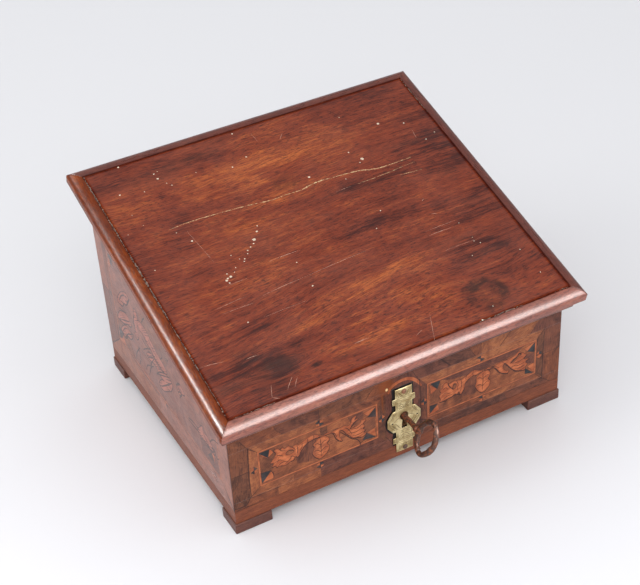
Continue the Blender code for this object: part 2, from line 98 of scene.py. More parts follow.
def on_lid(x, s, up=0.0):
    """Point of the lid's top, x across and s up the slope from its front edge, in millimetres."""
    x, s, up = np.broadcast_arrays(np.asarray(x, float), np.asarray(s, float), np.asarray(up, float))
    across = np.array((1.0, 0.0, 0.0))
    moved = x[..., None] * across + s[..., None] * LID_ALONG + up[..., None] * LID_NORMAL
    return LID_FRONT_EDGE + moved * MM


def lid_underside(y):
    """Height of the carcase's top edge under the lid, at depth y in metres."""
    point = LID_MIDDLE - LID_NORMAL * (LID_THICKNESS + GAP)
    return point[2] + (y - point[1]) * math.tan(SLOPE)


def soft_noise(position, scale, seed, octaves=2):
    """Smooth noise from -1 to 1 along a line: random values joined by cosine steps, in octaves."""
    total = np.zeros_like(np.asarray(position, float))
    for octave in range(octaves):
        values = np.random.default_rng(seed + octave).uniform(-1, 1, 512)
        place = np.asarray(position, float) / scale * 2 ** octave + 100.0
        low = np.floor(place).astype(int)
        blend = (1 - np.cos((place - low) * math.pi)) / 2
        total += (values[low % 512] * (1 - blend) + values[(low + 1) % 512] * blend) / 2 ** octave
    return total / (2 - 2.0 ** (1 - octaves))


def rounded_path(points, steps=6, closed=False):
    """Catmull-Rom curve through rows of numbers: each span is a cubic of its four nearest rows."""
    rows = np.asarray(points, float)
    count = len(rows)
    if closed:
        spans = np.arange(count)
        picks = [rows[(spans + k) % count] for k in (-1, 0, 1, 2)]
    else:
        padded = np.vstack((2 * rows[0] - rows[1], rows, 2 * rows[-1] - rows[-2]))
        picks = [padded[k:k + count - 1] for k in range(4)]
    t = np.linspace(0, 1, steps, endpoint=False)[None, :, None]
    a, b, c, d = (pick[:, None, :] for pick in picks)
    curve = b + t * (c - a) / 2 + t ** 2 * (a - 2.5 * b + 2 * c - d / 2)
    curve = curve + t ** 3 * (1.5 * (b - c) + (d - a) / 2)
    curve = curve.reshape(-1, rows.shape[1])
    return curve if closed else np.vstack((curve, rows[-1]))


def stroke_distance(x, z, stroke):
    """Distance to a stroke of changing width: to its nearest segment, less the half width there."""
    path = rounded_path(stroke)
    start, step = path[:-1, :2], np.diff(path[:, :2], axis=0)
    reach = path[:, 2].max() + 4.0
    near = (x > path[:, 0].min() - reach) & (x < path[:, 0].max() + reach)
    near &= (z > path[:, 1].min() - reach) & (z < path[:, 1].max() + reach)
    result = np.full(x.shape, 4.0)
    spot = np.stack((x[near], z[near]), -1)[:, None, :]
    along = np.clip(((spot - start) * step).sum(-1) / np.maximum((step ** 2).sum(-1), 1e-9), 0, 1)
    width = path[:-1, 2] + along * np.diff(path[:, 2])
    result[near] = (np.linalg.norm(spot - start - along[..., None] * step, axis=-1) - width).min(-1)
    return result


def polygon_distance(x, z, corners):
    """Signed distance to a polygon with straight sides, less than zero inside."""
    corners = np.asarray(corners, float)
    result = np.full(x.shape, 6.0)
    near = (x > corners[:, 0].min() - 6) & (x < corners[:, 0].max() + 6)
    near &= (z > corners[:, 1].min() - 6) & (z < corners[:, 1].max() + 6)
    spot = np.stack((x[near], z[near]), -1)[:, None, :]
    step = np.roll(corners, -1, axis=0) - corners
    along = np.clip(((spot - corners) * step).sum(-1) / (step ** 2).sum(-1), 0, 1)
    distance = np.linalg.norm(spot - corners - along[..., None] * step, axis=-1).min(-1)
    next_corner = np.roll(corners, -1, axis=0)
    crosses = (corners[:, 1] > spot[..., 1]) != (next_corner[:, 1] > spot[..., 1])
    height = np.where(step[:, 1] == 0, 1e-9, step[:, 1])
    left = spot[..., 0] < corners[:, 0] + (spot[..., 1] - corners[:, 1]) * step[:, 0] / height
    inside = (crosses & left).sum(-1) % 2 == 1
    result[near] = np.where(inside, -distance, distance)
    return result


def nearest(fields):
    """Union of distance fields: the smallest of them at each point."""
    return np.minimum.reduce(list(fields))


def soft_strokes(x, s, strokes):
    """Sum of soft bands: each adds its value, fading as a bell curve with distance from its line."""
    total = np.zeros(x.shape)
    for x0, s0, x1, s1, width, value in strokes:
        step = np.array((x1 - x0, s1 - s0), float)
        along = np.clip(((x - x0) * step[0] + (s - s0) * step[1]) / max((step ** 2).sum(), 1e-9), 0, 1)
        wide = width * (1 + 0.35 * soft_noise(x + s, 30.0, int(abs(x0) + s0)))
        gap = np.hypot((x - x0 - along * step[0]) * 0.6, s - s0 - along * step[1])
        total += value * np.exp(-(gap / wide) ** 2)
    return total


# Meshes

def grid_faces(rows, columns, close_rows=False, close_columns=False):
    """Quads of a grid of points, joined to itself where it closes."""
    i = np.arange(rows if close_rows else rows - 1)[:, None]
    j = np.arange(columns if close_columns else columns - 1)[None, :]
    i2, j2 = (i + 1) % rows, (j + 1) % columns
    corners = (i * columns + j, i * columns + j2, i2 * columns + j2, i2 * columns + j)
    return np.stack([np.broadcast_to(c, (i.size, j.size)).ravel() for c in corners], -1)


def add_piece(name, points, faces, material, body=None, fields=None):
    """New smooth object from arrays of points and quads, with fields per point. It rides on the body given."""
    mesh = bpy.data.meshes.new(name)
    points = np.ascontiguousarray(points.reshape(-1, 3), np.float32)
    faces = np.ascontiguousarray(faces, np.int32)
    mesh.vertices.add(len(points))
    mesh.vertices.foreach_set("co", points.ravel())
    mesh.loops.add(faces.size)
    mesh.loops.foreach_set("vertex_index", faces.ravel())
    mesh.polygons.add(len(faces))
    mesh.polygons.foreach_set("loop_start", np.arange(0, faces.size, faces.shape[1], dtype=np.int32))
    mesh.update(calc_edges=True)
    for field, values in (fields or {}).items():
        values = np.ascontiguousarray(values, np.float32)
        if values.ndim > 1 and values.shape[-1] == 3:
            mesh.attributes.new(field, "FLOAT_VECTOR", "POINT").data.foreach_set("vector", values.ravel())
        else:
            mesh.attributes.new(field, "FLOAT", "POINT").data.foreach_set("value", values.ravel())
    mesh.polygons.foreach_set("use_smooth", np.ones(len(faces), bool))
    mesh.materials.append(material)
    piece = bpy.data.objects.new(name, mesh)
    bpy.context.scene.collection.objects.link(piece)
    if body:
        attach(piece, body)
    return piece


def close_openings(piece, step=None):
    """Close a mesh: its open edges are drawn back by a step, if there is one, and each loop is filled."""
    work = bmesh.new()
    work.from_mesh(piece.data)
    if step:
        rims = [edge for edge in work.edges if edge.is_boundary]
        drawn = bmesh.ops.extrude_edge_only(work, edges=rims)["geom"]
        corners = [item for item in drawn if isinstance(item, bmesh.types.BMVert)]
        bmesh.ops.translate(work, verts=corners, vec=step)
    bmesh.ops.holes_fill(work, edges=[edge for edge in work.edges if edge.is_boundary], sides=0)
    bmesh.ops.recalc_face_normals(work, faces=work.faces)
    work.to_mesh(piece.data)
    work.free()


def give_thickness(piece, depth):
    """Thicken a sheet inwards from its face with a Solidify modifier."""
    modifier = piece.modifiers.new("Thickness", "SOLIDIFY")
    modifier.thickness = depth
    modifier.offset = -1.0


# Shader nodes

def add_node(tree, kind, inputs=None, **settings):
    """New node with its settings, whose inputs are values or the sockets that feed them."""
    node = tree.nodes.new(kind)
    for key, value in settings.items():
        setattr(node, key, value)
    for key, value in (inputs or {}).items():
        socket = node.inputs[key]
        if isinstance(value, bpy.types.NodeSocket):
            tree.links.new(value, socket)
        else:
            socket.default_value = value
    return node


def math_node(tree, operation, *values, clamp=False):
    """Output of a Math node."""
    node = add_node(tree, "ShaderNodeMath", dict(enumerate(values)), operation=operation, use_clamp=clamp)
    return node.outputs[0]


def ramp(tree, value, low, high, to_low=0.0, to_high=1.0):
    """Value spread smoothly from one range to another."""
    inputs = {"Value": value, "From Min": low, "From Max": high, "To Min": to_low, "To Max": to_high}
    return add_node(tree, "ShaderNodeMapRange", inputs, interpolation_type="SMOOTHSTEP").outputs["Result"]


def mix_colour(tree, factor, a, b):
    """Colour between two colours."""
    node = add_node(tree, "ShaderNodeMix", data_type="RGBA")
    for index, value in ((0, factor), (6, a), (7, b)):
        if isinstance(value, bpy.types.NodeSocket):
            tree.links.new(value, node.inputs[index])
        else:
            node.inputs[index].default_value = value
    return node.outputs[2]


def noise(tree, vector, scale, stretch=(1, 1, 1), detail=3.0, roughness=0.55, distortion=0.0):
    """Noise on a stretched copy of the vector."""
    scaled = add_node(tree, "ShaderNodeVectorMath", {0: vector, 1: stretch}, operation="MULTIPLY").outputs[0]
    inputs = {"Vector": scaled, "Scale": scale, "Detail": detail, "Roughness": roughness,
              "Distortion": distortion}
    return add_node(tree, "ShaderNodeTexNoise", inputs).outputs[0]


def rgb(red, green, blue):
    """Linear colour from the usual 0 to 255 numbers."""
    parts = [(c / 255 / 12.92) if c <= 10 else ((c / 255 + 0.055) / 1.055) ** 2.4 for c in (red, green, blue)]
    return (*parts, 1.0)


def new_group(name, inputs, outputs):
    """Empty shader node group with named sockets, and its two end nodes."""
    group = bpy.data.node_groups.new(name, "ShaderNodeTree")
    for socket, kind, default in inputs:
        made = group.interface.new_socket(socket, in_out="INPUT", socket_type=kind)
        if default is not None:
            made.default_value = default
    for socket, kind in outputs:
        group.interface.new_socket(socket, in_out="OUTPUT", socket_type=kind)
    start = group.nodes.new("NodeGroupInput")
    end = group.nodes.new("NodeGroupOutput")
    return group, start.outputs, end.inputs


def wood_grain_group():
    """Polished wood: broad bands, wavy streaks along the grain and short dark pores."""
    name = "Wood grain"
    if name in bpy.data.node_groups:
        return bpy.data.node_groups[name]
    colour = "NodeSocketColor"
    value = "NodeSocketFloat"
    tree, given, result = new_group(name, [
        ("Vector", "NodeSocketVector", None), ("Tone", value, 0.0), ("Dark", colour, rgb(70, 30, 26)),
        ("Middle", colour, rgb(122, 56, 38)), ("Light", colour, rgb(164, 86, 44)),
        ("Fineness", value, 1.0), ("Pores", value, 0.5),
    ], [("Color", colour), ("Height", value), ("Gloss", value)])
    fine = add_node(tree, "ShaderNodeVectorMath", {0: given["Vector"], 3: given["Fineness"]}, operation="SCALE")
    base = fine.outputs[0]
    wander = noise(tree, base, 9.0, (1.0, 1.6, 1.0), 2.0)
    wander = math_node(tree, "MULTIPLY", wander, 0.014)
    shift = add_node(tree, "ShaderNodeCombineXYZ", {"Y": wander}).outputs[0]
    bent = add_node(tree, "ShaderNodeVectorMath", {0: base, 1: shift}, operation="ADD").outputs[0]
    broad = noise(tree, bent, 9.0, (0.45, 2.4, 3.0), 3.0)
    streak = noise(tree, bent, 70.0, (0.26, 3.0, 3.0), 5.0, 0.68)
    fibre = noise(tree, bent, 200.0, (0.28, 3.4, 3.0), 4.0, 0.68)
    pore = noise(tree, bent, 270.0, (0.40, 3.4, 3.0), 3.0, 0.55)
    cloud = noise(tree, base, 44.0, (0.8, 1.3, 3.0), 6.0, 0.66)
    mixed = math_node(tree, "MULTIPLY_ADD", broad, 0.30, math_node(tree, "MULTIPLY", streak, 0.34))
    mixed = math_node(tree, "MULTIPLY_ADD", cloud, 0.34, mixed)
    mixed = math_node(tree, "MULTIPLY_ADD", fibre, 0.50, math_node(tree, "ADD", mixed, -0.240))
    tone = math_node(tree, "ADD", mixed, given["Tone"])
    first = mix_colour(tree, ramp(tree, tone, 0.24, 0.52), given["Dark"], given["Middle"])
    second = mix_colour(tree, ramp(tree, tone, 0.48, 0.76), first, given["Light"])
    hole = math_node(tree, "MULTIPLY", ramp(tree, pore, 0.54, 0.61), given["Pores"])
    final = mix_colour(tree, hole, second, mix_colour(tree, 0.64, second, rgb(30, 12, 14)))
    height = math_node(tree, "SUBTRACT", math_node(tree, "MULTIPLY", fibre, 0.4), hole)
    tree.links.new(final, result["Color"])
    tree.links.new(height, result["Height"])
    tree.links.new(ramp(tree, streak, 0.3, 0.7, 0.0, 1.0), result["Gloss"])
    return tree


def new_material(name, roughness, metallic=0.0, specular=0.5, coat=0.0, coat_roughness=0.2):
    """Material with a Principled shader, returned with its tree and shader."""
    material = bpy.data.materials.new(name)
    material.use_nodes = True
    tree = material.node_tree
    shader = tree.nodes["Principled BSDF"]
    shader.inputs["Roughness"].default_value = roughness
    shader.inputs["Metallic"].default_value = metallic
    shader.inputs["Specular IOR Level"].default_value = specular
    shader.inputs["Coat Weight"].default_value = coat
    shader.inputs["Coat Roughness"].default_value = coat_roughness
    return material, tree, shader


def add_bump(tree, shader, height, distance, strength=0.5):
    """Bump the shader's normal by a height in units of distance, in metres."""
    bump = add_node(tree, "ShaderNodeBump", {"Strength": strength, "Distance": distance, "Height": height})
    tree.links.new(bump.outputs[0], shader.inputs["Normal"])


def attribute(tree, name, output="Fac"):
    """Socket of a named attribute of the mesh."""
    return add_node(tree, "ShaderNodeAttribute", attribute_name=name).outputs[output]


def object_place(tree, turn=(0.0, 0.0, 0.0)):
    """Object coordinates, turned."""
    source = add_node(tree, "ShaderNodeTexCoord").outputs["Object"]
    mapping = add_node(tree, "ShaderNodeMapping", {"Vector": source, "Rotation": turn})
    return mapping.outputs[0]


def wood_material(name, colours, vector, tone=None, roughness=0.34, fineness=1.0, pores=0.5, bump=0.00008,
                  specular=0.4, coat=0.25, extra=None, dirt=None):
    """Finished wood: grain colours, gloss that follows the streaks and a shallow relief. Dirt has no gloss."""
    material, tree, shader = new_material(name, roughness, specular=specular, coat=coat, coat_roughness=0.22)
    source = vector(tree)
    grain = add_node(tree, "ShaderNodeGroup", node_tree=wood_grain_group())
    tree.links.new(source, grain.inputs["Vector"])
    woods = colours(tree) if callable(colours) else colours
    for key, value in zip(("Dark", "Middle", "Light"), woods):
        if isinstance(value, bpy.types.NodeSocket):
            tree.links.new(value, grain.inputs[key])
        else:
            grain.inputs[key].default_value = value
    grain.inputs["Fineness"].default_value = fineness
    grain.inputs["Pores"].default_value = pores
    if tone:
        tree.links.new(tone(tree), grain.inputs["Tone"])
    colour = grain.outputs["Color"]
    height = grain.outputs["Height"]
    if extra:
        colour, height = extra(tree, colour, height)
    tree.links.new(colour, shader.inputs["Base Color"])
    smear = noise(tree, source, 22.0, (1, 1, 1), 3.0)
    gloss = math_node(tree, "MULTIPLY", grain.outputs["Gloss"], 0.08)
    rough = math_node(tree, "MULTIPLY_ADD", smear, 0.22, gloss)
    tree.links.new(math_node(tree, "ADD", rough, roughness - 0.15), shader.inputs["Roughness"])
    if dirt:
        clean = math_node(tree, "SUBTRACT", 1.0, dirt(tree), clamp=True)
        tree.links.new(math_node(tree, "MULTIPLY", clean, specular), shader.inputs["Specular IOR Level"])
        tree.links.new(math_node(tree, "MULTIPLY", clean, coat), shader.inputs["Coat Weight"])
    add_bump(tree, shader, height, bump)
    return material


# Shades of the woods, from dark to light
WOOD_COLOURS = {
    "lid": (rgb(66, 22, 17), rgb(130, 53, 30), rgb(186, 96, 42)),
    "front": (rgb(72, 36, 24), rgb(120, 64, 40), rgb(158, 90, 54)),
    # The side and side leaf shades are paler and pinker than the front's: partly the wood, partly painted
    # reflection of the pale room in the varnish.
    "side": (rgb(92, 52, 46), rgb(126, 78, 66), rgb(164, 104, 84)),
    "front_leaf": (rgb(158, 80, 46), rgb(202, 114, 70)),
    "side_leaf": (rgb(150, 84, 68), rgb(182, 108, 88)),
    "foot": (rgb(62, 34, 30), rgb(102, 60, 50), rgb(132, 80, 62)),
    "carcase": (rgb(108, 76, 52), rgb(146, 108, 76), rgb(176, 138, 100)),
}


class WoodColours(bpy.types.PropertyGroup):
    """Shades of each wood, numbered from dark to light."""
    __annotations__ = {
        f"{wood}_{number}": bpy.props.FloatVectorProperty(
            name=f"{wood} {number}".replace("_", " ").title(), description="Shade of the wood, 1 is the darkest",
            default=shade[:3], subtype="COLOR", min=0, max=1)
        for wood, colours in WOOD_COLOURS.items() for number, shade in enumerate(colours, 1)
    }


def shades(context, wood):
    """Shades of a wood as the settings have them."""
    settings = context.scene.writing_box_colours
    return tuple((*getattr(settings, f"{wood}_{i}"), 1.0) for i in range(1, len(WOOD_COLOURS[wood]) + 1))


def grain_attribute(tree):
    """The grain coordinates kept on the mesh: along, across and a number for each board."""
    return attribute(tree, "grain", "Vector")


# Stage

class StageSizes(bpy.types.PropertyGroup):
    """Camera and floor."""
    lens: bpy.props.FloatProperty(name="Lens", description="Focal length in mm", default=81.29)
    azimuth: bpy.props.FloatProperty(
        name="Azimuth", description="Camera's turn to the left of the front", default=math.radians(26.77),
        subtype="ANGLE")
    elevation: bpy.props.FloatProperty(
        name="Elevation", description="Camera's height angle", default=math.radians(35.94), subtype="ANGLE")
    roll: bpy.props.FloatProperty(
        name="Roll", description="Camera's roll", default=math.radians(-3.64), subtype="ANGLE")
    place: bpy.props.FloatVectorProperty(
        name="Place", description="Camera's place from the middle of the carcase, on the floor",
        default=(-0.58502, -1.14678, 1.05944), subtype="XYZ", unit="LENGTH")
    floor_colour: bpy.props.FloatVectorProperty(
        name="Floor", description="Colour of the floor in front", default=rgb(240, 240, 244)[:3],
        subtype="COLOR", min=0, max=1)
    # Painted shade: the floor far behind the box is given a darker colour, where less light falls.
    far_shade_colour: bpy.props.FloatVectorProperty(
        name="Far Floor", description="Colour of the floor behind the box", default=rgb(226, 226, 229)[:3],
        subtype="COLOR", min=0, max=1)


class WRITINGBOX_OT_stage(bpy.types.Operator):
    """Pale floor, soft lights and the camera"""
    bl_idname = "writing_box.stage"
    bl_label = "Stage"

    def execute(self, context):
        sizes = context.scene.writing_box_stage
        self.add_camera(context, sizes)
        self.add_floor(sizes)
        self.add_lights(context)
        return {"FINISHED"}

    def add_camera(self, context, sizes):
        """Camera whose axes follow from its azimuth, elevation and roll."""
        az, el, roll = -sizes.azimuth, sizes.elevation, sizes.roll
        back = Vector((math.sin(az) * math.cos(el), -math.cos(az) * math.cos(el), math.sin(el)))
        right = Vector((0, 0, 1)).cross(back).normalized()
        up = back.cross(right)
        turned = right * math.cos(roll) + up * math.sin(roll)
        risen = up * math.cos(roll) - right * math.sin(roll)
        axes = Matrix((turned, risen, back)).transposed()
        camera = bpy.data.cameras.new("camera")
        camera.lens = sizes.lens
        camera.sensor_width = 36.0
        camera.clip_end = 30.0
        holder = bpy.data.objects.new("camera", camera)
        holder.matrix_world = Matrix.Translation(Vector(sizes.place) + Vector((0, MIDDLE, 0))) @ axes.to_4x4()
        context.scene.collection.objects.link(holder)
        context.scene.camera = holder

    def add_floor(self, sizes):
        """A wide floor that curves up far behind, as one swept line, its colour darkening towards the back and the
        right as painted shade.
        """
        bend = np.linspace(0, math.pi / 2, 13)
        depth = np.concatenate(([-16.0], 14.0 + 1.5 * np.sin(bend), [15.5]))
        height = np.concatenate(([0.0], 1.5 - 1.5 * np.cos(bend), [5.0]))
        across = np.linspace(-16, 16, 9)
        points = np.stack(np.broadcast_arrays(across[None, :], depth[:, None], height[:, None]), -1)
        material, tree, shader = new_material("studio_floor", 0.6, specular=0.15)
        place = object_place(tree)
        faint = noise(tree, place, 3.0, detail=2.0)
        apart = add_node(tree, "ShaderNodeSeparateXYZ", {"Vector": place})
        # Painted shade: the floor's colour darkens towards the back and the right, where less light falls.
        behind = math_node(tree, "MULTIPLY_ADD", apart.outputs["X"], 0.7, apart.outputs["Y"])
        away = ramp(tree, math_node(tree, "MULTIPLY_ADD", faint, 0.2, behind), -0.35, 0.45)
        colour = mix_colour(tree, away, (*sizes.floor_colour, 1.0), (*sizes.far_shade_colour, 1.0))
        tree.links.new(colour, shader.inputs["Base Color"])
        floor = add_piece("studio_floor", points, grid_faces(len(depth), len(across)), material)

    def add_lights(self, context):
        """A pale sky, three soft boxes and two lamps that show only as gleams."""
        world = bpy.data.worlds.new("studio")
        world.use_nodes = True
        tree = world.node_tree
        sky = tree.nodes["Background"]
        sky.inputs["Color"].default_value = (0.975, 0.985, 1.0, 1.0)
        mirrored = add_node(tree, "ShaderNodeLightPath").outputs["Is Glossy Ray"]
        strength = math_node(tree, "MULTIPLY_ADD", mirrored, -0.55, 0.93)
        tree.links.new(strength, sky.inputs["Strength"])
        context.scene.world = world
        boxes = (
            ("front_softbox", (-0.9, -1.9, 2.1), 1.8, 22.0, True),
            ("left_softbox", (-2.4, 0.3, 1.8), 1.4, 12.0, True),
            ("back_softbox", (-0.2, 2.4, 2.2), 1.4, 3.0, True),
            ("front_gleam", (0.9, -1.9, 1.85), 2.2, 215.0, False),
            ("left_gleam", (-1.6, 0.6, 2.2), 0.55, 125.0, False),
        )
        for name, place, size, power, lights_floor in boxes:
            lamp = bpy.data.lights.new(name, "AREA")
            lamp.shape = "DISK"
            lamp.size = size
            lamp.energy = power
            lamp.color = (1.0, 0.985, 0.965)
            holder = bpy.data.objects.new(name, lamp)
            holder.location = place
            holder.rotation_euler = (Vector((0, 0, 0.1)) - Vector(place)).to_track_quat("-Z", "Y").to_euler()
            holder.visible_diffuse = lights_floor
            context.scene.collection.objects.link(holder)
        context.scene.view_settings.view_transform = "Standard"


# Lid

# Soft bands of figure in the lid board: from, to, width and how much lighter or darker
LID_FIGURE = (
    (-195, 328, -60, 330, 11, -0.16), (-60, 322, 40, 318, 9, -0.08), (-200, 352, 200, 350, 7, -0.07),
    (-195, 306, -165, 302, 6, -0.12), (-120, 292, 60, 294, 8, 0.07), (-132, 292, -130, 246, 9, -0.10),
    (-110, 270, -20, 268, 12, 0.04), (10, 268, 30, 262, 14, -0.10), (60, 300, 190, 298, 12, -0.05),
    (100, 268, 120, 266, 7, -0.12), (60, 330, 190, 336, 14, -0.05), (-60, 226, 60, 222, 7, -0.13),
    (60, 220, 200, 214, 9, -0.13), (-20, 204, 60, 198, 8, 0.12), (60, 198, 200, 196, 8, 0.10),
    (-190, 222, -120, 216, 9, -0.06), (-180, 196, -90, 194, 7, 0.05), (-30, 180, 200, 178, 7, 0.09),
    (-100, 176, -20, 172, 6, 0.04), (-80, 152, 60, 162, 4, -0.12), (60, 162, 200, 158, 9, -0.13),
    (-190, 176, -120, 174, 6, -0.07), (-190, 148, -110, 146, 9, 0.03), (0, 146, 120, 140, 9, 0.04),
    (120, 140, 198, 132, 12, -0.05), (-195, 128, -170, 126, 8, 0.06), (-20, 122, 90, 122, 7, -0.04),
    (-195, 100, -130, 96, 14, -0.14), (-130, 92, -100, 90, 10, -0.10), (-100, 86, 0, 98, 6, 0.04),
    (-130, 64, -70, 72, 7, 0.13), (-70, 74, 40, 96, 8, 0.15), (40, 98, 190, 112, 8, 0.07),
    (-60, 56, 60, 66, 7, 0.07), (-110, 48, -20, 50, 6, 0.11), (-60, 30, 20, 34, 8, 0.10),
    (-150, 50, -118, 36, 13, -0.18), (-125, 32, -135, 14, 9, -0.12), (-190, 50, -170, 20, 12, -0.08),
    (-190, 6, -150, 10, 6, 0.08), (-80, 8, 40, 10, 6, 0.03), (60, 70, 190, 80, 12, -0.04),
    (60, 44, 96, 20, 12, 0.04), (140, 60, 190, 56, 10, -0.04), (150, 30, 195, 14, 14, 0.05),
)
# Painted sheen and shade: wide lighter and darker washes across the board, brighter at the front middle and darker
# towards the right, in the same order
LID_PAINTED_SHEEN_AND_SHADE = (
    (80, 190, 190, 250, 58, -0.08), (-70, 30, 70, 70, 34, 0.05),
    (-180, 300, 40, 330, 40, 0.02), (130, 90, 190, 30, 30, -0.12), (-60, 200, 40, 290, 40, 0.08),
    (-190, 20, -120, 70, 36, -0.10), (-140, 200, -126, 290, 16, -0.07), (120, 320, 190, 300, 30, -0.04),
    (172, 110, 197, 280, 24, -0.11), (-198, 120, -198, 250, 14, -0.06),
)
# Dark round marks: place, two radii and strength
LID_SPOTS = ((100, 41, 11, 6, 1.1), (113, 46, 13, 5, 1.1), (95, 28, 5, 12, 0.9), (129, 28, 9, 13, 1.0),
             (112, 12, 14, 5, 0.8), (110, 28, 23, 20, 0.42), (-91, 23, 6, 2.8, 1.1), (-99, 53, 6, 2.0, 0.9),
             (-130, 44, 17, 9, 0.6), (-114, 32, 6, 13, 0.6), (-4, 256, 16, 9, 0.5), (-140, 18, 22, 12, 0.4),
             (-60, 20, 14, 4, 0.4), (-150, 60, 20, 12, 0.4))
# Line of the filled crack, and finer cracks: x, slant and half width
LID_CRACKS = (
    ((-148, 245, 0.25), (-123, 246.4, 0.6), (-91, 245, 0.6), (-62, 243, 0.5), (-44, 241, 0.75),
     (-28, 239, 0.6), (-12, 240, 0.35), (7, 239.5, 0.6), (28, 243, 0.9), (46, 242, 0.5), (64, 241, 0.6),
     (81, 239, 0.8), (95, 235, 0.9), (112, 233.5, 0.7), (144, 234, 0.3)),
    ((69, 222, 0.15), (88, 222.5, 0.3), (109, 223.6, 0.3), (144, 226, 0.12)),
    ((118, 215, 0.15), (132, 213.6, 0.4), (145, 212.7, 0.2)),
)
# Pale scratches: from, to and half width
LID_SCRATCHES = (
    (-99, 124, -50, 128, 0.35), (-50, 128, 29, 133, 0.3), (-152, 127, -116, 130, 0.3),
    (-148, 119, -110, 119, 0.3), (-73, 162, -36, 163, 0.45), (-199, 68, -173, 65, 0.45),
    (-132, 235, -125, 185, 0.3), (101, 123.6, 129, 123.6, 0.5), (31, -1, 45, 32, 0.3),
    (-45, 30, -26, 30, 0.6), (-130, 150, -104, 151, 0.25), (-112, 98, -60, 99, 0.2),
    (100, 130, 138, 131, 0.25), (60, 222, 40, 221, 0.2), (105, 98, 150, 98, 0.2),
    (168, 272, 166, 258, 0.25), (-152, 58, -138, 58, 0.45), (120, 170, 124, 173, 0.4),
    (120, 150, 126, 147, 0.35), (-4, 340, -2, 326, 0.2), (22, 318, 29, 326, 0.35),
    (-132, 8, -125, 16, 0.3), (-124, 8, -116, 18, 0.35), (-128, 12, -121, 20, 0.3), (17, 12, 26, 16, 0.5),
    (-144, 20, -150, 6, 0.3), (-150, 6, -144, 2, 0.5),
)
# Pale specks of old filling: x, slant and radius
LID_SPECKS = (
    (-160, 351, 1.1), (-23, 348, 0.9), (-129, 326, 0.9), (-124, 328, 0.7), (-128, 318, 1.3),
    (-175, 312, 1.0), (-149, 306, 0.7), (-122, 308, 0.7), (-118, 303, 0.8), (-25, 309, 1.1),
    (-46, 301, 0.9), (137, 296, 1.7), (165, 285, 0.9), (24, 253, 1.4), (83, 269, 0.9), (92, 254, 2.1),
    (87, 250, 0.8), (175, 252, 0.8), (-133, 221, 1.1), (-185, 200, 0.8), (-73, 196, 2.1), (-61, 212, 0.9),
    (-65, 205, 1.2), (-76, 191, 0.9), (-81, 188, 0.9), (-86, 185, 1.0), (-88, 181, 0.7), (-94, 176, 1.0),
    (-96, 173, 0.8), (-99, 178, 0.6), (-105, 186, 0.7), (-108, 169, 0.7), (-112, 164, 0.6),
    (-118, 160, 1.6), (-122, 159, 1.4), (-124, 157, 1.5), (-123, 153, 0.9), (-120, 165, 0.8),
    (-47, 149, 0.8), (-47, 114, 1.0), (-129, 99, 0.9), (71, 177, 0.8), (180, 66, 0.8), (101, 323, 0.7),
    (-86, 310, 0.6), (60, 234, 0.7), (-143, 238, 0.7), (-190, 256, 0.6), (54, 156, 0.7), (141, 97, 0.6),
    (146, 92, 0.7), (142, 102, 0.5), (140, 126, 0.6), (128, 80, 0.6), (182, 30, 0.7), (90, 1, 1.0),
    (110, 12, 0.6), (-170, 262, 0.5), (-175, 280, 0.5), (190, 258, 0.8),
)


class LidSizes(bpy.types.PropertyGroup):
    """Board and mouldings of the lid."""
    width: bpy.props.FloatProperty(
        name="Width", description="Board's width", default=2 * SIDE_FACE, unit="LENGTH")
    length: bpy.props.FloatProperty(
        name="Length", description="Board's length up the slope", default=LID_LENGTH, unit="LENGTH")
    thickness: bpy.props.FloatProperty(
        name="Thickness", description="Board's thickness", default=LID_THICKNESS, unit="LENGTH")
    moulding: bpy.props.FloatProperty(
        name="Moulding", description="Width of the moulding", default=0.0148, unit="LENGTH")
    drop: bpy.props.FloatProperty(
        name="Drop", description="Height of the moulding's round", default=0.0078, unit="LENGTH")
    corner: bpy.props.FloatProperty(
        name="Corner", description="Worn radius of the lid's corners", default=0.0032, unit="LENGTH")


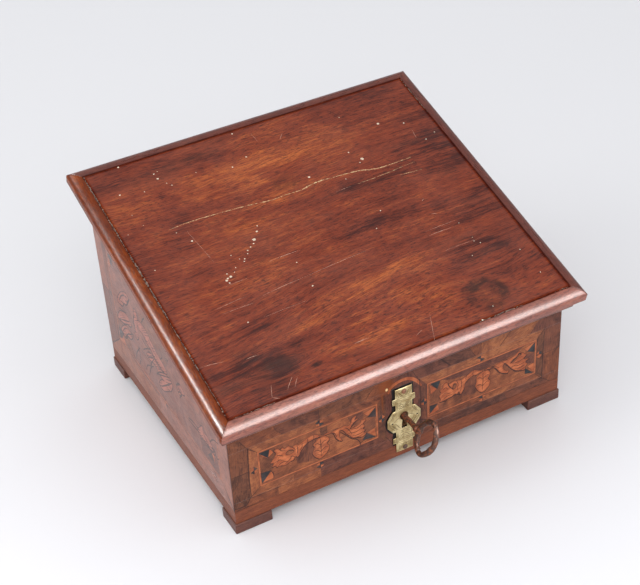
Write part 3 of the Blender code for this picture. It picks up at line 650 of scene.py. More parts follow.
def lid_board_material(colours):
    """Board of the lid: figure with painted sheen and shade mixed in, dark marks, old stains along the edges and a
    satin polish.
    """
    def marks(tree, colour, height):
        place = grain_attribute(tree)
        normal = add_node(tree, "ShaderNodeTexCoord").outputs["Normal"]
        upward = add_node(tree, "ShaderNodeVectorMath", {0: normal, 1: tuple(LID_NORMAL)}, operation="DOT_PRODUCT")
        ragged = ramp(tree, noise(tree, place, 110.0, (0.7, 1, 1), 5.0, 0.65), 0.36, 0.60, 0.45, 1.0)
        spots = math_node(tree, "MULTIPLY", attribute(tree, "spots"), ragged)
        spots = math_node(tree, "MULTIPLY", spots, ramp(tree, upward.outputs["Value"], 0.1, 0.5))
        darker = mix_colour(tree, spots, colour, mix_colour(tree, 0.78, colour, rgb(30, 14, 12)))
        ticks = ramp(tree, noise(tree, place, 430.0, (0.30, 1.7, 1), 3.0, 0.6), 0.56, 0.63)
        thick = ramp(tree, noise(tree, place, 13.0, (0.7, 1.3, 1), 3.0), 0.38, 0.58, 0.15, 0.75)
        darker = mix_colour(tree, math_node(tree, "MULTIPLY", ticks, thick), darker, rgb(62, 20, 18))
        edge_darkening = math_node(tree, "MULTIPLY", attribute(tree, "edge"), noise(tree, place, 60.0, (0.4, 1, 1)))
        bare = ramp(tree, noise(tree, place, 24.0, (0.3, 1.6, 1), 5.0), 0.50, 0.75)
        bare = math_node(tree, "MULTIPLY", bare, 0.07)
        hazy = mix_colour(tree, bare, darker, rgb(196, 120, 84))
        return mix_colour(tree, edge_darkening, hazy, rgb(40, 22, 22)), height

    # The figure field also carries the painted sheen and shade washes.
    def figure(tree):
        place = grain_attribute(tree)
        broken = ramp(tree, noise(tree, place, 52.0, (0.14, 2.6, 1), 4.0), 0.36, 0.62, 0.25, 1.15)
        return math_node(tree, "MULTIPLY", attribute(tree, "figure"), broken)
    return wood_material("lid_board_wood", colours, grain_attribute, tone=figure,
                         roughness=0.38, pores=0.8, specular=0.30, coat=0.04, extra=marks,
                         dirt=lambda tree: ramp(tree, attribute(tree, "edge"), 0.15, 0.45))


class WRITINGBOX_OT_lid_board(bpy.types.Operator):
    """Sloping board of the lid with its wavy figure and its old marks"""
    bl_idname = "writing_box.lid_board"
    bl_label = "Lid Board"

    def execute(self, context):
        sizes = context.scene.writing_box_lid
        half, length = sizes.width / 2 / MM - 0.02, sizes.length / MM
        x = np.linspace(-half, half, 186)
        s = np.linspace(0.02, length - 0.02, 163)
        x, s = np.meshgrid(x, s)
        border = np.minimum(np.minimum(x + half, half - x), np.minimum(s, length - s))
        lift = -0.45 * np.exp(-(border / 0.9) ** 2)
        bend = 24 * np.exp(-((s - 82) / 52) ** 2) * np.tanh((x + 50) / 95)
        bend += 5 * np.tanh((s - 150) / 60) * np.sin(x / 75)
        bend += 6 * np.exp(-((x + 128) ** 2 + (s - 38) ** 2) / 700) * np.sign(s - 38)
        grain = np.stack((x * MM, (s - bend) * MM, np.full(x.shape, 0.7)), -1)
        spots = np.zeros(x.shape)
        for x0, s0, wide, high, strength in LID_SPOTS:
            away = np.hypot((x - x0) / wide, (s - s0) / high) + 0.12 * soft_noise(x * 2 + s, 9.0, 5)
            spots = np.maximum(spots, strength / (1 + np.exp(np.minimum((away - 1) * 9, 40))))
        # Painted sheen and shade, added into the figure field.
        painted_sheen_and_shade = soft_strokes(x, s, LID_PAINTED_SHEEN_AND_SHADE)
        figure = 0.7 * soft_strokes(x, s - bend * 0.15, LID_FIGURE) + painted_sheen_and_shade
        fields = {"grain": grain, "figure": figure, "spots": spots, "edge": np.exp(-border / 2.2)}
        points = on_lid(x, s, lift)
        faces = grid_faces(*x.shape)
        material = lid_board_material(shades(context, "lid"))
        piece = add_piece("lid_board_planed", points, faces, material, "lid", fields)
        give_thickness(piece, sizes.thickness - 0.0005)
        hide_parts("lid_board")
        return {"FINISHED"}


def worn_lid_corners(x, s, radius, half, length):
    """Round the lid's plan corners: a point past the corner's circle is drawn back onto it."""
    radii = {(-1, -1): radius * 1.5, (1, -1): radius, (-1, 1): radius, (1, 1): radius}
    for (side, end), r in radii.items():
        centre_x = side * (half - r)
        centre_s = length / 2 + end * (length / 2 + MOULDING_REACH - r)
        dx = (x - centre_x) * side
        ds = (s - centre_s) * end
        past = (dx > 0) & (ds > 0)
        away = np.hypot(dx, ds)
        pull = np.where(past & (away > r), r / np.maximum(away, 1e-9), 1.0)
        x = np.where(past, centre_x + side * dx * pull, x)
        s = np.where(past, centre_s + end * ds * pull, s)
    return x, s


def moulding_section(sizes):
    """Section of the lid moulding: eased inner edge, flat, thumb round, fillet and underside."""
    wide, thick, drop = sizes.moulding / MM, sizes.thickness / MM, sizes.drop / MM
    inner = 0.15
    turn = np.radians(np.linspace(90, 0, 22))
    flat = 2.2
    thumb = np.stack((flat + (wide - flat) * np.cos(turn), -drop + drop * np.sin(turn)), -1)
    points = [(inner, -thick), (inner, -thick / 2), (inner, -0.7), (inner + 0.2, -0.25), (inner + 0.6, -0.03),
              (flat * 0.6, 0.0), *thumb, (wide - 0.02, -drop - 1.2), (wide - 0.02, -drop - 3.2),
              (wide - 0.05, -thick + 0.8), (wide - 0.3, -thick + 0.25), (wide - 0.8, -thick), (wide / 2, -thick)]
    return np.asarray(points)


def lid_moulding(name, node, start, run, outward, sizes, material, seed):
    """Mitred moulding: its section is carried along the edge, and each end grows with the distance out."""
    section = moulding_section(sizes)
    half, length = sizes.width / 2 / MM, sizes.length / MM
    out, up = section[:, 0], section[:, 1]
    count = 301
    t = np.linspace(-1, 1, count)[:, None]
    reach = np.linalg.norm(run) / 2
    along = t * (reach + out[None, :] - 0.12)
    direction = np.asarray(run, float) / np.linalg.norm(run)
    outward = np.asarray(outward, float)
    ridge = np.exp(-(((out - MOULDING_REACH) / 2.2) ** 2 + ((up + 7.8) / 2.5) ** 2))
    wear = 0.22 * (1 + soft_noise(along[:, :1], 14.0, seed))
    wear = wear + 0.5 * np.maximum(soft_noise(along[:, :1], 5.0, seed + 9) - 0.62, 0)
    drift = 0.10 * soft_noise(along[:, :1] + up[None, :] * 3, 40.0, seed + 3)
    outs = np.broadcast_to(out[None, :], along.shape) - wear * ridge[None, :]
    ups = np.broadcast_to(up[None, :], along.shape) + np.minimum(drift, 0) * (up[None, :] > -7.9)
    centre = np.asarray(start, float)
    x = centre[0] + direction[0] * along + outward[0] * outs
    s = centre[1] + direction[1] * along + outward[1] * outs
    x, s = worn_lid_corners(x, s, sizes.corner / MM, half + MOULDING_REACH, length)
    points = on_lid(x, s, ups)
    girth = np.concatenate(([0], np.cumsum(np.linalg.norm(np.diff(section, axis=0), axis=1))))
    grain = np.stack(np.broadcast_arrays(along * MM, girth[None, :] * MM, seed * 0.37), -1)
    edge = np.broadcast_to(np.exp(-np.maximum(out, 0) / 1.2) * (up > -3), along.shape)
    bright = np.broadcast_to(ridge, along.shape)
    faces = grid_faces(count, len(section), close_columns=True)
    piece = add_piece(name, points, faces, material, "lid", {"grain": grain, "edge": edge, "ridge": bright})
    close_ends(piece, count, len(section))
    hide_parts(node)
    return piece


def close_ends(piece, rows, columns):
    """Close both ends of a swept section with one face each, then turn all faces outwards."""
    work = bmesh.new()
    work.from_mesh(piece.data)
    work.verts.ensure_lookup_table()
    for ring in (range(columns), range((rows - 1) * columns, rows * columns)):
        face = work.faces.new([work.verts[i] for i in ring])
        face.smooth = False
    bmesh.ops.recalc_face_normals(work, faces=work.faces)
    work.to_mesh(piece.data)
    work.free()


def moulding_material(name, colours, coat=0.35, roughness=0.30, specular=0.42):
    """Moulding: straight grain along its length, worn pale on the ridge, dark in the seam of the lid and darkened
    as painted shade in the cornice's hollow.
    """
    def marks(tree, colour, height):
        place = grain_attribute(tree)
        patch = ramp(tree, noise(tree, place, 40.0, (0.5, 1, 1), 3.0), 0.42, 0.62)
        pale = math_node(tree, "MULTIPLY", attribute(tree, "ridge"), math_node(tree, "MULTIPLY", patch, 0.30))
        worn = mix_colour(tree, pale, colour, rgb(196, 120, 84))
        mottle = ramp(tree, noise(tree, place, 330.0, (0.5, 1, 1), 4.0, 0.65), 0.48, 0.62)
        worn = mix_colour(tree, math_node(tree, "MULTIPLY", mottle, 0.42), worn, rgb(66, 26, 16))
        smoky = ramp(tree, noise(tree, place, 16.0, (1, 1, 1), 3.0), 0.46, 0.70)
        worn = mix_colour(tree, math_node(tree, "MULTIPLY", smoky, 0.30), worn, rgb(84, 34, 24))
        # The edge field darkens the lid's seams and, on the cornice, paints shade into the hollow above the bead,
        # where it also takes the gloss away.
        rough = ramp(tree, noise(tree, place, 90.0), 0.3, 0.6, 0.3, 0.95)
        edge_darkening = math_node(tree, "MULTIPLY", attribute(tree, "edge"), rough)
        scrape = noise(tree, place, 260.0, (0.07, 1.6, 1), 4.0, 0.65)
        dent = noise(tree, place, 120.0, (0.6, 1, 1), 4.0, 0.6)
        height = math_node(tree, "MULTIPLY_ADD", dent, 1.4, height)
        height = math_node(tree, "MULTIPLY_ADD", scrape, 1.4, height)
        return mix_colour(tree, edge_darkening, worn, rgb(44, 24, 24)), height
    return wood_material(name, colours, grain_attribute, roughness=roughness, pores=0.5, specular=specular,
                         coat=coat, fineness=1.4, bump=0.00013, extra=marks,
                         dirt=lambda tree: ramp(tree, attribute(tree, "edge"), 0.2, 0.6))


class WRITINGBOX_OT_lid_mouldings(bpy.types.Operator):
    """Four mitred thumb mouldings round the lid board, worn along their ridges"""
    bl_idname = "writing_box.lid_mouldings"
    bl_label = "Lid Mouldings"

    def execute(self, context):
        sizes = context.scene.writing_box_lid
        half, length = sizes.width / 2 / MM, sizes.length / MM
        red = moulding_material("moulding_wood", (rgb(68, 28, 24), rgb(108, 50, 38), rgb(144, 76, 52)), 0.3)
        golden = moulding_material(
            "left_moulding_wood", (rgb(72, 24, 4), rgb(128, 52, 6), rgb(186, 92, 12)), 0.06, 0.30, 0.20)
        # Painted light: the front moulding's woods are a lighter copy of the others, standing in for the broad
        # highlight along its thumb.
        bright = moulding_material(
            "front_moulding_lit_wood", (rgb(100, 45, 36), rgb(158, 84, 66), rgb(198, 122, 94)), 0.40, 0.48, 0.42)
        runs = (
            ("lid_front_thumb_moulding", "lid_moulding_front", (0, 0), (2 * half, 0), (0, -1), bright),
            ("lid_right_thumb_moulding", "lid_moulding_right", (half, length / 2), (0, length), (1, 0), red),
            ("lid_back_thumb_moulding", "lid_moulding_back", (0, length), (-2 * half, 0), (0, 1), red),
            ("lid_left_thumb_moulding", "lid_moulding_left", (-half, length / 2), (0, -length), (-1, 0), golden),
        )
        for seed, (name, node, start, run, outward, material) in enumerate(runs):
            lid_moulding(name, node, start, run, outward, sizes, material, 11 + 7 * seed)
        return {"FINISHED"}


def ribbon(path, lift, spread, seed):
    """Strip along a path of x, slant and half width: each cross-section is two edge points and a crown."""
    path = rounded_path(path, 10)
    step = np.gradient(path[:, :2], axis=0)
    normal = np.stack((-step[:, 1], step[:, 0]), -1) / np.linalg.norm(step, axis=1)[:, None]
    run = np.concatenate(([0], np.cumsum(np.linalg.norm(np.diff(path[:, :2], axis=0), axis=1))))
    wide = path[:, 2] * (1 + spread * soft_noise(run, 2.2, seed))
    wide = np.maximum(wide, 0.02)
    middle = path[:, :2] + normal * (0.5 * spread * soft_noise(run, 4.0, seed + 2))[:, None]
    sides = np.array((-1.0, 0.0, 1.0))
    flat = middle[:, None, :] + normal[:, None, :] * (wide[:, None] * sides)[..., None]
    rise = np.broadcast_to(np.array((-0.02, lift, -0.02)), flat.shape[:2])
    return on_lid(flat[..., 0], flat[..., 1], rise), grid_faces(len(path), 3)


def join_arrays(parts):
    """One list of points and faces from several."""
    points, faces, count = [], [], 0
    for some_points, some_faces in parts:
        some_points = some_points.reshape(-1, 3)
        points.append(some_points)
        faces.append(some_faces + count)
        count += len(some_points)
    return np.concatenate(points), np.concatenate(faces)


def filling_material(name, pale, dull, cover):
    """Old filler, broken up by small noise so that the wood shows through it."""
    material, tree, shader = new_material(name, 0.7, specular=0.2)
    place = object_place(tree)
    colour = mix_colour(tree, ramp(tree, noise(tree, place, 300.0, detail=4.0), 0.35, 0.65), dull, pale)
    tree.links.new(colour, shader.inputs["Base Color"])
    covered = ramp(tree, noise(tree, place, 420.0, detail=3.0), cover - 0.05, cover + 0.05)
    tree.links.new(covered, shader.inputs["Alpha"])
    add_bump(tree, shader, noise(tree, place, 900.0), 0.0002)
    return material


class WRITINGBOX_OT_lid_marks(bpy.types.Operator):
    """Filled cracks, scratches and specks of old filling on the lid"""
    bl_idname = "writing_box.lid_marks"
    bl_label = "Lid Marks"

    def execute(self, context):
        pale = filling_material("crack_filling", rgb(214, 178, 132), rgb(150, 96, 62), 0.40)
        faint = filling_material("scratch_white", rgb(206, 160, 138), rgb(166, 112, 92), 0.36)
        grey = filling_material("seam_filling", rgb(136, 112, 98), rgb(72, 52, 46), 0.47)
        white = filling_material("speck_white", rgb(236, 222, 200), rgb(206, 184, 158), 0.05)
        cracks = [ribbon(path, 0.05, 0.7, 40 + i) for i, path in enumerate(LID_CRACKS)]
        scratches = []
        for i, (x0, s0, x1, s1, wide) in enumerate(LID_SCRATCHES):
            middle = ((x0 + x1) / 2, (s0 + s1) / 2 + 0.4, wide)
            scratches.append(ribbon(((x0, s0, 0.08), middle, (x1, s1, 0.08)), 0.03, 0.3, 70 + i))
        specks = np.asarray(LID_SPECKS, float)
        turn = np.linspace(0, 2 * math.pi, 12, endpoint=False)
        wobble = 1 + 0.22 * np.random.default_rng(4).uniform(-1, 1, (len(specks), 12))
        rings = []
        for share, height in ((1.0, -0.03), (0.7, 0.06), (0.05, 0.09)):
            radius = specks[:, 2:3] * wobble * share
            across = specks[:, 0:1] + radius * np.cos(turn)
            along = specks[:, 1:2] + radius * np.sin(turn) * 0.9
            rings.append(on_lid(across, along, height))
        points = np.stack(rings, 1)
        faces = grid_faces(3, 12, close_columns=True)
        blobs = [(points[i], faces) for i in range(len(specks))]
        half, length = SIDE_FACE / MM, LID_LENGTH / MM
        seams = [
            ribbon(((-half, 352, 0.4), (-half, 330, 0.9), (-half, 300, 0.5), (-half, 270, 0.8), (-half, 240, 0.3),
                    (-half, 214, 1.0), (-half, 190, 0.9), (-half, 160, 1.0), (-half, 120, 0.4), (-half, 80, 0.7),
                    (-half, 40, 0.3), (-half, 6, 0.6)), 0.02, 0.9, 5),
            ribbon(((half, 350, 0.2), (half, 330, 0.5), (half, 290, 0.3)), 0.02, 0.8, 7),
            ribbon(((86, 0, 0.3), (112, 0.3, 0.8), (141, 0, 0.4)), 0.02, 0.8, 8),
            ribbon(((180, 0, 0.2), (190, 0.3, 1.0), (197, 0, 0.3)), 0.02, 0.8, 9),
            ribbon(((-195, 0, 0.2), (-170, 0.2, 0.5), (-150, 0, 0.2)), 0.02, 0.8, 10),
        ]
        for name, parts, material in (("lid_crack_filling", cracks, pale), ("lid_seam_filling", seams, grey),
                                      ("lid_scratches", scratches, faint), ("lid_specks", blobs, white)):
            piece = add_piece(name, *join_arrays(parts), material, "lid")
        return {"FINISHED"}


# Carcase

def cornice_section():
    """Section of the cornice: fillet, cove and bead, as distance out and down."""
    turn = np.radians(np.linspace(0, 90, 10))
    cove = np.stack((8.5 - 3.5 * np.sin(turn), 3 + 9 * (1 - np.cos(turn))), -1)
    swell = np.radians(np.linspace(-90, 90, 17))
    bead = np.stack((4.5 + 4 * np.cos(swell), 16 + 4 * np.sin(swell)), -1)
    points = [(0.35, 0.05), (4, 0.05), (8.2, 0.05), (8.48, 0.4), (8.48, 2.8), *cove[1:], *bead, (0.35, 19.98)]
    return np.asarray(points)


def cornice_piece(name, node, side, material, seed):
    """Cornice run: the section is carried along the front, or up the rake of a side."""
    section = cornice_section()
    out, down = section[:, 0], section[:, 1]
    count = 241
    t = np.linspace(0, 1, count)[:, None]
    wear = 0.15 * (1 + soft_noise(t * 400, 16.0, seed)) * np.exp(-((out[None, :] - 8.5) / 1.2) ** 2)
    outs = (out[None, :] - wear) * MM
    if side == 0:
        y = FRONT_FACE - outs
        x = (2 * t - 1) * (SIDE_FACE + out[None, :] * MM - 0.0001)
        along = x
    else:
        start = FRONT_FACE - out[None, :] * MM + 0.0002
        y = start + (BACK_FACE - start) * t
        x = side * (SIDE_FACE + outs)
        along = y
    z = lid_underside(y) - down[None, :] * MM / math.cos(SLOPE)
    points = np.stack(np.broadcast_arrays(x, y, z), -1)
    girth = np.concatenate(([0], np.cumsum(np.linalg.norm(np.diff(section, axis=0), axis=1))))
    grain = np.stack(np.broadcast_arrays(along, girth[None, :] * MM, seed * 0.31), -1)
    # Painted shade: the hollow between the cove and the bead is darkened through the edge field.
    shade = np.broadcast_to(np.exp(-((out - 5) / 1.2) ** 2) * (down > 6) * (down < 14), along.shape)
    ridge = np.broadcast_to(np.exp(-((out - 8.5) / 1.0) ** 2), along.shape)
    piece = add_piece(name, points, grid_faces(count, len(section), close_columns=True), material, "box",
                      {"grain": grain, "edge": shade, "ridge": ridge})
    close_ends(piece, count, len(section))
    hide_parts(node)


class WRITINGBOX_OT_cornice(bpy.types.Operator):
    """Cornice under the lid, on the front and up both sides"""
    bl_idname = "writing_box.cornice"
    bl_label = "Cornice"

    def execute(self, context):
        wood = moulding_material("cornice_wood", (rgb(58, 26, 24), rgb(94, 44, 36), rgb(122, 64, 48)))
        cornice_piece("front_cornice_run", "front_cornice", 0, wood, 3)
        cornice_piece("left_cornice_run", "left_cornice", -1, wood, 4)
        cornice_piece("right_cornice_run", "right_cornice", 1, wood, 5)
        return {"FINISHED"}


class WRITINGBOX_OT_carcase(bpy.types.Operator):
    """Finishes of the boards, feet and plain veneers"""
    bl_idname = "writing_box.carcase"
    bl_label = "Carcase Woods"

    def execute(self, context):
        nodes = frame["nodes"]
        base = (rgb(82, 40, 26), rgb(126, 66, 42), rgb(158, 90, 54))
        strip = wood_material("base_strip_wood", base, object_place, roughness=0.42, fineness=1.5,
                              specular=0.2, coat=0.05)
        foot = wood_material("foot_wood", shades(context, "foot"), object_place, roughness=0.45, fineness=2.0,
                             pores=0.8, specular=0.25, coat=0.05)
        inner = shades(context, "carcase")
        plain = wood_material("carcase_wood", inner, object_place, roughness=0.55, coat=0.0)
        side = wood_material("inner_side_wood", inner, lambda tree: object_place(tree, (0, 0, math.radians(90))),
                             roughness=0.55, coat=0.0)
        rear = (rgb(84, 48, 38), rgb(116, 72, 54), rgb(140, 92, 66))
        back = wood_material("back_wood", rear, lambda tree: object_place(tree, (math.radians(90), 0, 0)),
                             roughness=0.5, coat=0.0)
        finishes = {"bottom_board": strip, "front_board": plain, "back_board": back, "left_side_board": side,
                    "right_side_board": side}
        for name in nodes:
            if name.startswith("foot_"):
                finishes[name] = foot
            elif name.endswith("_veneer"):
                finishes[name] = strip
        for name, material in finishes.items():
            for slot in nodes[name].material_slots:
                slot.material = material
        return {"FINISHED"}


# Marquetry

# Woods of the blocks: shares of golden, purple and olive, and how much lighter or darker
WOODS = {
    "red": (0.0, 0.0, 0.0, 0.02), "dull": (0.0, 0.45, 0.1, -0.03), "golden": (0.85, 0.0, 0.15, 0.06),
    "amber": (0.55, 0.0, 0.0, 0.02), "purple": (0.0, 0.75, 0.0, -0.02), "dark": (0.0, 0.8, 0.3, -0.09),
    "olive": (0.35, 0.0, 0.5, 0.0), "shade": (0.1, 0.2, 0.7, -0.10), "rosy": (0.0, 0.0, 0.0, 0.13),
}
# Blocks of the front: wood, turn of the grain in degrees and corners
FRONT_BLOCKS = (
    ("purple", 90, ((-22, 27), (30, 27), (30, 123), (-22, 123))),
    ("red", 0, ((-200, 27), (-150, 27), (-150, 42), (-200, 42))),
    ("amber", 4, ((-150, 27), (-100, 27), (-100, 42), (-150, 42))),
    ("purple", 0, ((-100, 27), (-14, 27), (-14, 43), (-100, 43))),
    ("dull", 0, ((14, 27), (72, 27), (74, 42), (14, 42))),
    ("dark", 3, ((72, 27), (133, 27), (126, 42), (74, 42))),
    ("dull", 0, ((133, 27), (200, 27), (172, 46), (126, 42))),
    ("shade", 82, ((-200, 33), (-187, 33), (-181, 41), (-180, 75.5), (-200, 75.5))),
    ("olive", 80, ((-200, 75.5), (-180, 75.5), (-178.7, 104.7), (-187, 120), (-200, 120))),
    ("red", 20, ((-187, 120), (-178.7, 104.7), (-140, 106), (-149, 120))),
    ("dull", -12, ((-149, 120), (-140, 106), (-98.5, 106), (-98.5, 120))),
    ("olive", 12, ((-98.5, 120), (-98.5, 106), (-46, 106), (-40, 112), (-33, 122))),
    ("red", 0, ((-46, 106), (-14, 106), (-14, 123), (-33, 123), (-40, 112))),
    ("purple", 0, ((10.8, 123), (20, 104.7), (58, 106), (47, 123))),
    ("dark", -28, ((47, 123), (58, 106), (89.7, 106), (81, 123))),
    ("red", 78, ((81, 123), (89.7, 106), (96.5, 106), (96.5, 123))),
    ("golden", 62, ((96.5, 123), (96.5, 106), (120.6, 106), (135, 123))),
    ("golden", 24, ((135, 123), (120.6, 106), (158, 106), (172, 123))),
    ("purple", 80, ((172, 123), (158, 106), (172, 102), (200, 102), (200, 123))),
    ("dull", 88, ((177, 72), (200, 72), (200, 104), (172, 104))),
    ("red", 90, ((177, 72), (200, 72), (200, 27), (190, 27), (177, 39))),
    ("golden", 2, ((-178, 106.5), (-100, 106.5), (-100, 96), (-168.8, 96))),
    ("red", 0, ((-100, 106.5), (-21, 106.5), (-30, 96), (-100, 96))),
    ("golden", 88, ((-181, 41), (-178, 106), (-169, 96), (-169, 50))),
    ("golden", 14, ((-181, 40), (-131, 40), (-131, 50), (-169.5, 50))),
    ("red", -8, ((-131, 40), (-100, 40), (-100, 50), (-131, 50))),
    ("purple", 0, ((-100, 40), (-21, 40), (-30, 50), (-100, 50))),
    ("shade", 90, ((-21, 40), (-21, 106.5), (-30, 96), (-30, 50))),
    ("amber", 8, ((-169, 50), (-31, 50), (-31, 96), (-169, 96))),
    ("olive", 50, ((-167, 93.5), (-150, 93.5), (-146, 76), (-156, 64), (-167, 60))),
    ("dull", 84, ((-128, 83), (-103, 83), (-106, 55), (-126, 60))),
    ("shade", 20, ((-98, 94), (-90, 94), (-90, 85), (-94, 83), (-98, 85))),
    ("dull", 15, ((-66, 93.5), (-48, 93.5), (-48, 84), (-62, 85))),
    ("olive", 30, ((-52, 76), (-34, 80), (-34, 66), (-48, 63))),
    ("golden", 2, ((20, 106.5), (178, 106.5), (168.7, 95.5), (29, 95.5))),
    ("dull", 90, ((20, 106.5), (29, 95.5), (29, 48.4), (20, 40))),
    ("red", 4, ((20, 39.8), (29, 48.8), (100, 48.8), (100, 39.8))),
    ("amber", 6, ((100, 39.8), (100, 48.8), (168.7, 48.8), (179, 39.8))),
    ("shade", 90, ((168.5, 48.8), (168.5, 95.5), (178, 106.5), (178, 39.8))),
    ("amber", 6, ((29.5, 49), (168.2, 49), (168.2, 95.5), (29.5, 95.5))),
    ("purple", 0, ((46, 93.6), (152, 93.6), (140, 87), (96, 84), (60, 88))),
    ("olive", 60, ((33, 92), (46, 90), (44, 66), (33, 66))),
    ("dull", 86, ((76, 79), (91, 80), (90, 56), (68, 60))),
    ("purple", 20, ((152, 80), (166, 80), (166, 64), (156, 68))),
)
# Dark joint lines and gaps between the blocks: x, height and half width
FRONT_JOINTS = (
    ((-200, 75.8, 0.25), (-190, 75, 0.35), (-180, 75.4, 0.25)),
    ((-180, 41, 0.3), (-180.4, 75, 0.35), (-179, 106, 0.4)),
    ((-181, 41, 0.5), (-187, 32.5, 0.6), (-200, 33, 0.5)), ((-179, 105, 0.5), (-169.5, 96.5, 0.2)),
    ((-169.5, 49.5, 0.2), (-181, 40.6, 0.4)), ((-180, 39.8, 0.25), (-150, 39, 0.25), (-139, 38.4, 0.15)),
    ((-200, 30.2, 0.25), (-176, 30, 0.25), (-150, 30.6, 0.1)), ((-187, 118, 0.2), (-179, 105, 0.3)),
    ((-149, 119, 0.15), (-145, 112, 0.25), (-140, 107.2, 0.15)), ((-98.5, 119, 0.35), (-98.2, 106, 0.25)),
    ((-44, 106.5, 0.15), (-41, 112, 0.3), (-34, 118.5, 0.15)), ((12, 120, 0.25), (20, 104.5, 0.35)),
    ((46, 122, 0.5), (50, 117, 0.9), (58, 108.4, 0.4)), ((81, 122, 0.15), (89.7, 106.7, 0.3)),
    ((96.5, 122, 0.2), (96.5, 106.7, 0.3)), ((135, 122, 0.2), (127, 114, 0.5), (120.6, 107.4, 0.25)),
    ((170, 98, 0.2), (180, 108, 0.2)), ((167.6, 48.4, 0.2), (178, 38, 0.35), (191, 27.3, 0.35)),
    ((177.6, 38, 0.4), (177.4, 72, 0.5), (178.4, 102, 0.4)), ((177, 72, 0.2), (200, 72.6, 0.25)),
    ((21, 41, 0.25), (21.4, 75, 0.35), (20.6, 105, 0.3)),
    ((-22, 46, 0.25), (-18, 40, 0.3), (-14, 32.5, 0.2)),
    ((-156, 65, 0.3), (-153.5, 60, 0.4), (-153.6, 54, 0.3)), ((-53, 55, 0.3), (-52.6, 50.6, 0.8)),
    ((130, 65.5, 0.3), (131.2, 64.6, 0.8)), ((-45.5, 55, 0.1), (-52, 52.6, 0.35)),
    ((30, 46, 0.5), (20, 52, 0.3)), ((-195, 110, 0.1), (-186, 98, 0.15), (-183, 84, 0.1)),
    ((-197, 60, 0.15), (-193, 66, 0.3), (-197, 70, 0.1)),
    ((-196, 52, 0.2), (-192, 40, 0.3), (-187, 36, 0.2)),
    ((-183, 60, 0.15), (-186, 44, 0.25), (-192, 38, 0.1)),
)
# Scrolls of each panel as closed outlines of x and height
FRONT_SCROLLS = (
    ((-153, 78), (-149, 84), (-150.5, 89), (-147, 90.5), (-143.5, 88), (-141, 90), (-139, 86.5),
     (-135, 88), (-131, 85), (-127, 86), (-123, 84.5), (-119, 86), (-114, 88.5), (-107, 89.5), (-101, 87),
     (-98.5, 83), (-103, 83.2), (-109, 83), (-115, 80.5), (-120, 76), (-122.5, 71), (-125, 68.5),
     (-127.5, 70), (-130, 66.5), (-134, 66.5), (-140, 64.5), (-146, 66.5), (-149, 66), (-150.5, 69),
     (-154, 69), (-152.5, 73), (-155.5, 75)),
    ((-105, 78.4), (-107.5, 75.5), (-105.7, 72), (-108.3, 65.3), (-107, 61), (-103, 56), (-99.7, 54),
     (-94.5, 56), (-90, 61), (-88.4, 66.6), (-90.8, 70.5), (-88.2, 74.5), (-89.2, 78.4), (-93, 81.7),
     (-98.4, 82.4), (-102, 81.5)),
    ((-95, 82.6), (-91, 84.6), (-84, 83.4), (-79, 84.6), (-75, 84), (-71, 85.3), (-66, 82.6), (-63, 84.5),
     (-61, 90), (-56, 91.5), (-58, 87), (-54, 86.6), (-60.5, 82), (-63.6, 77), (-58, 78), (-52, 79.5),
     (-50.5, 83), (-46, 82.4), (-45, 79.7), (-48.5, 77), (-46.6, 73), (-49, 71), (-46.2, 68),
     (-47.4, 65.5), (-44.6, 63.3), (-48.4, 60), (-55, 61.3), (-60, 63.3), (-64, 67.5), (-68, 72.5),
     (-72, 79), (-75.6, 79.7), (-76.4, 73), (-73, 66.3), (-76.2, 66.6), (-79.4, 70.5), (-81.6, 76),
     (-84.6, 81), (-90, 82.2)),
    ((44.3, 63.3), (45.6, 67), (44, 72), (46.6, 75.5), (45.4, 79), (48.4, 81), (49.6, 85.5), (53.6, 86.8),
     (56.8, 83.7), (63.4, 84.6), (68.7, 83), (74, 83.6), (80.5, 86.3), (87, 88), (92.4, 86.3),
     (98.5, 82.6), (91.7, 80.6), (85.8, 81), (79.9, 78.4), (76.6, 74.5), (75.3, 68), (71.3, 62),
     (69, 66.6), (66.5, 64.5), (63.4, 66.4), (60, 64), (55.5, 64), (52, 62), (49, 63)),
    ((93.7, 78.8), (90.6, 75), (91.4, 71), (89.8, 65.3), (92.6, 58.7), (97, 53.6), (101, 53), (104.6, 55),
     (109, 61.3), (108.4, 66), (106.4, 69), (108.8, 74), (107.6, 78.6), (104.2, 81.2), (98.9, 81.4)),
    ((101, 82.2), (106, 84.2), (113, 82.8), (121.3, 84.2), (131.8, 84.6), (139.7, 86), (144, 89),
     (147, 87.8), (152.9, 83), (155.4, 79.7), (152.4, 76), (158.8, 73.8), (155, 70.8), (157.6, 67),
     (155.6, 63.5), (152.9, 60), (146.3, 61.3), (141, 64), (135.8, 69), (130.5, 75.8), (126.6, 79.4),
     (125.2, 76), (127.6, 70.6), (132.6, 69), (131.6, 65.4), (126.6, 66.4), (121.3, 70.5), (117.4, 75.8),
     (113.4, 80.6), (105.5, 81.6)),
)
# Openings in the scrolls, and dark notches
FRONT_HOLES = (
    ((-138, 79.5), (-135, 81.8), (-130.5, 80.8), (-129, 78), (-133, 76.6), (-137, 77.2)),
    ((61, 76), (62.6, 80.4), (65.6, 79), (65, 75), (62.6, 73.8)),
    ((135, 77.6), (139, 80), (144, 83.6), (147.4, 86), (149, 83.6), (145, 81.6), (140, 77.8)),
)
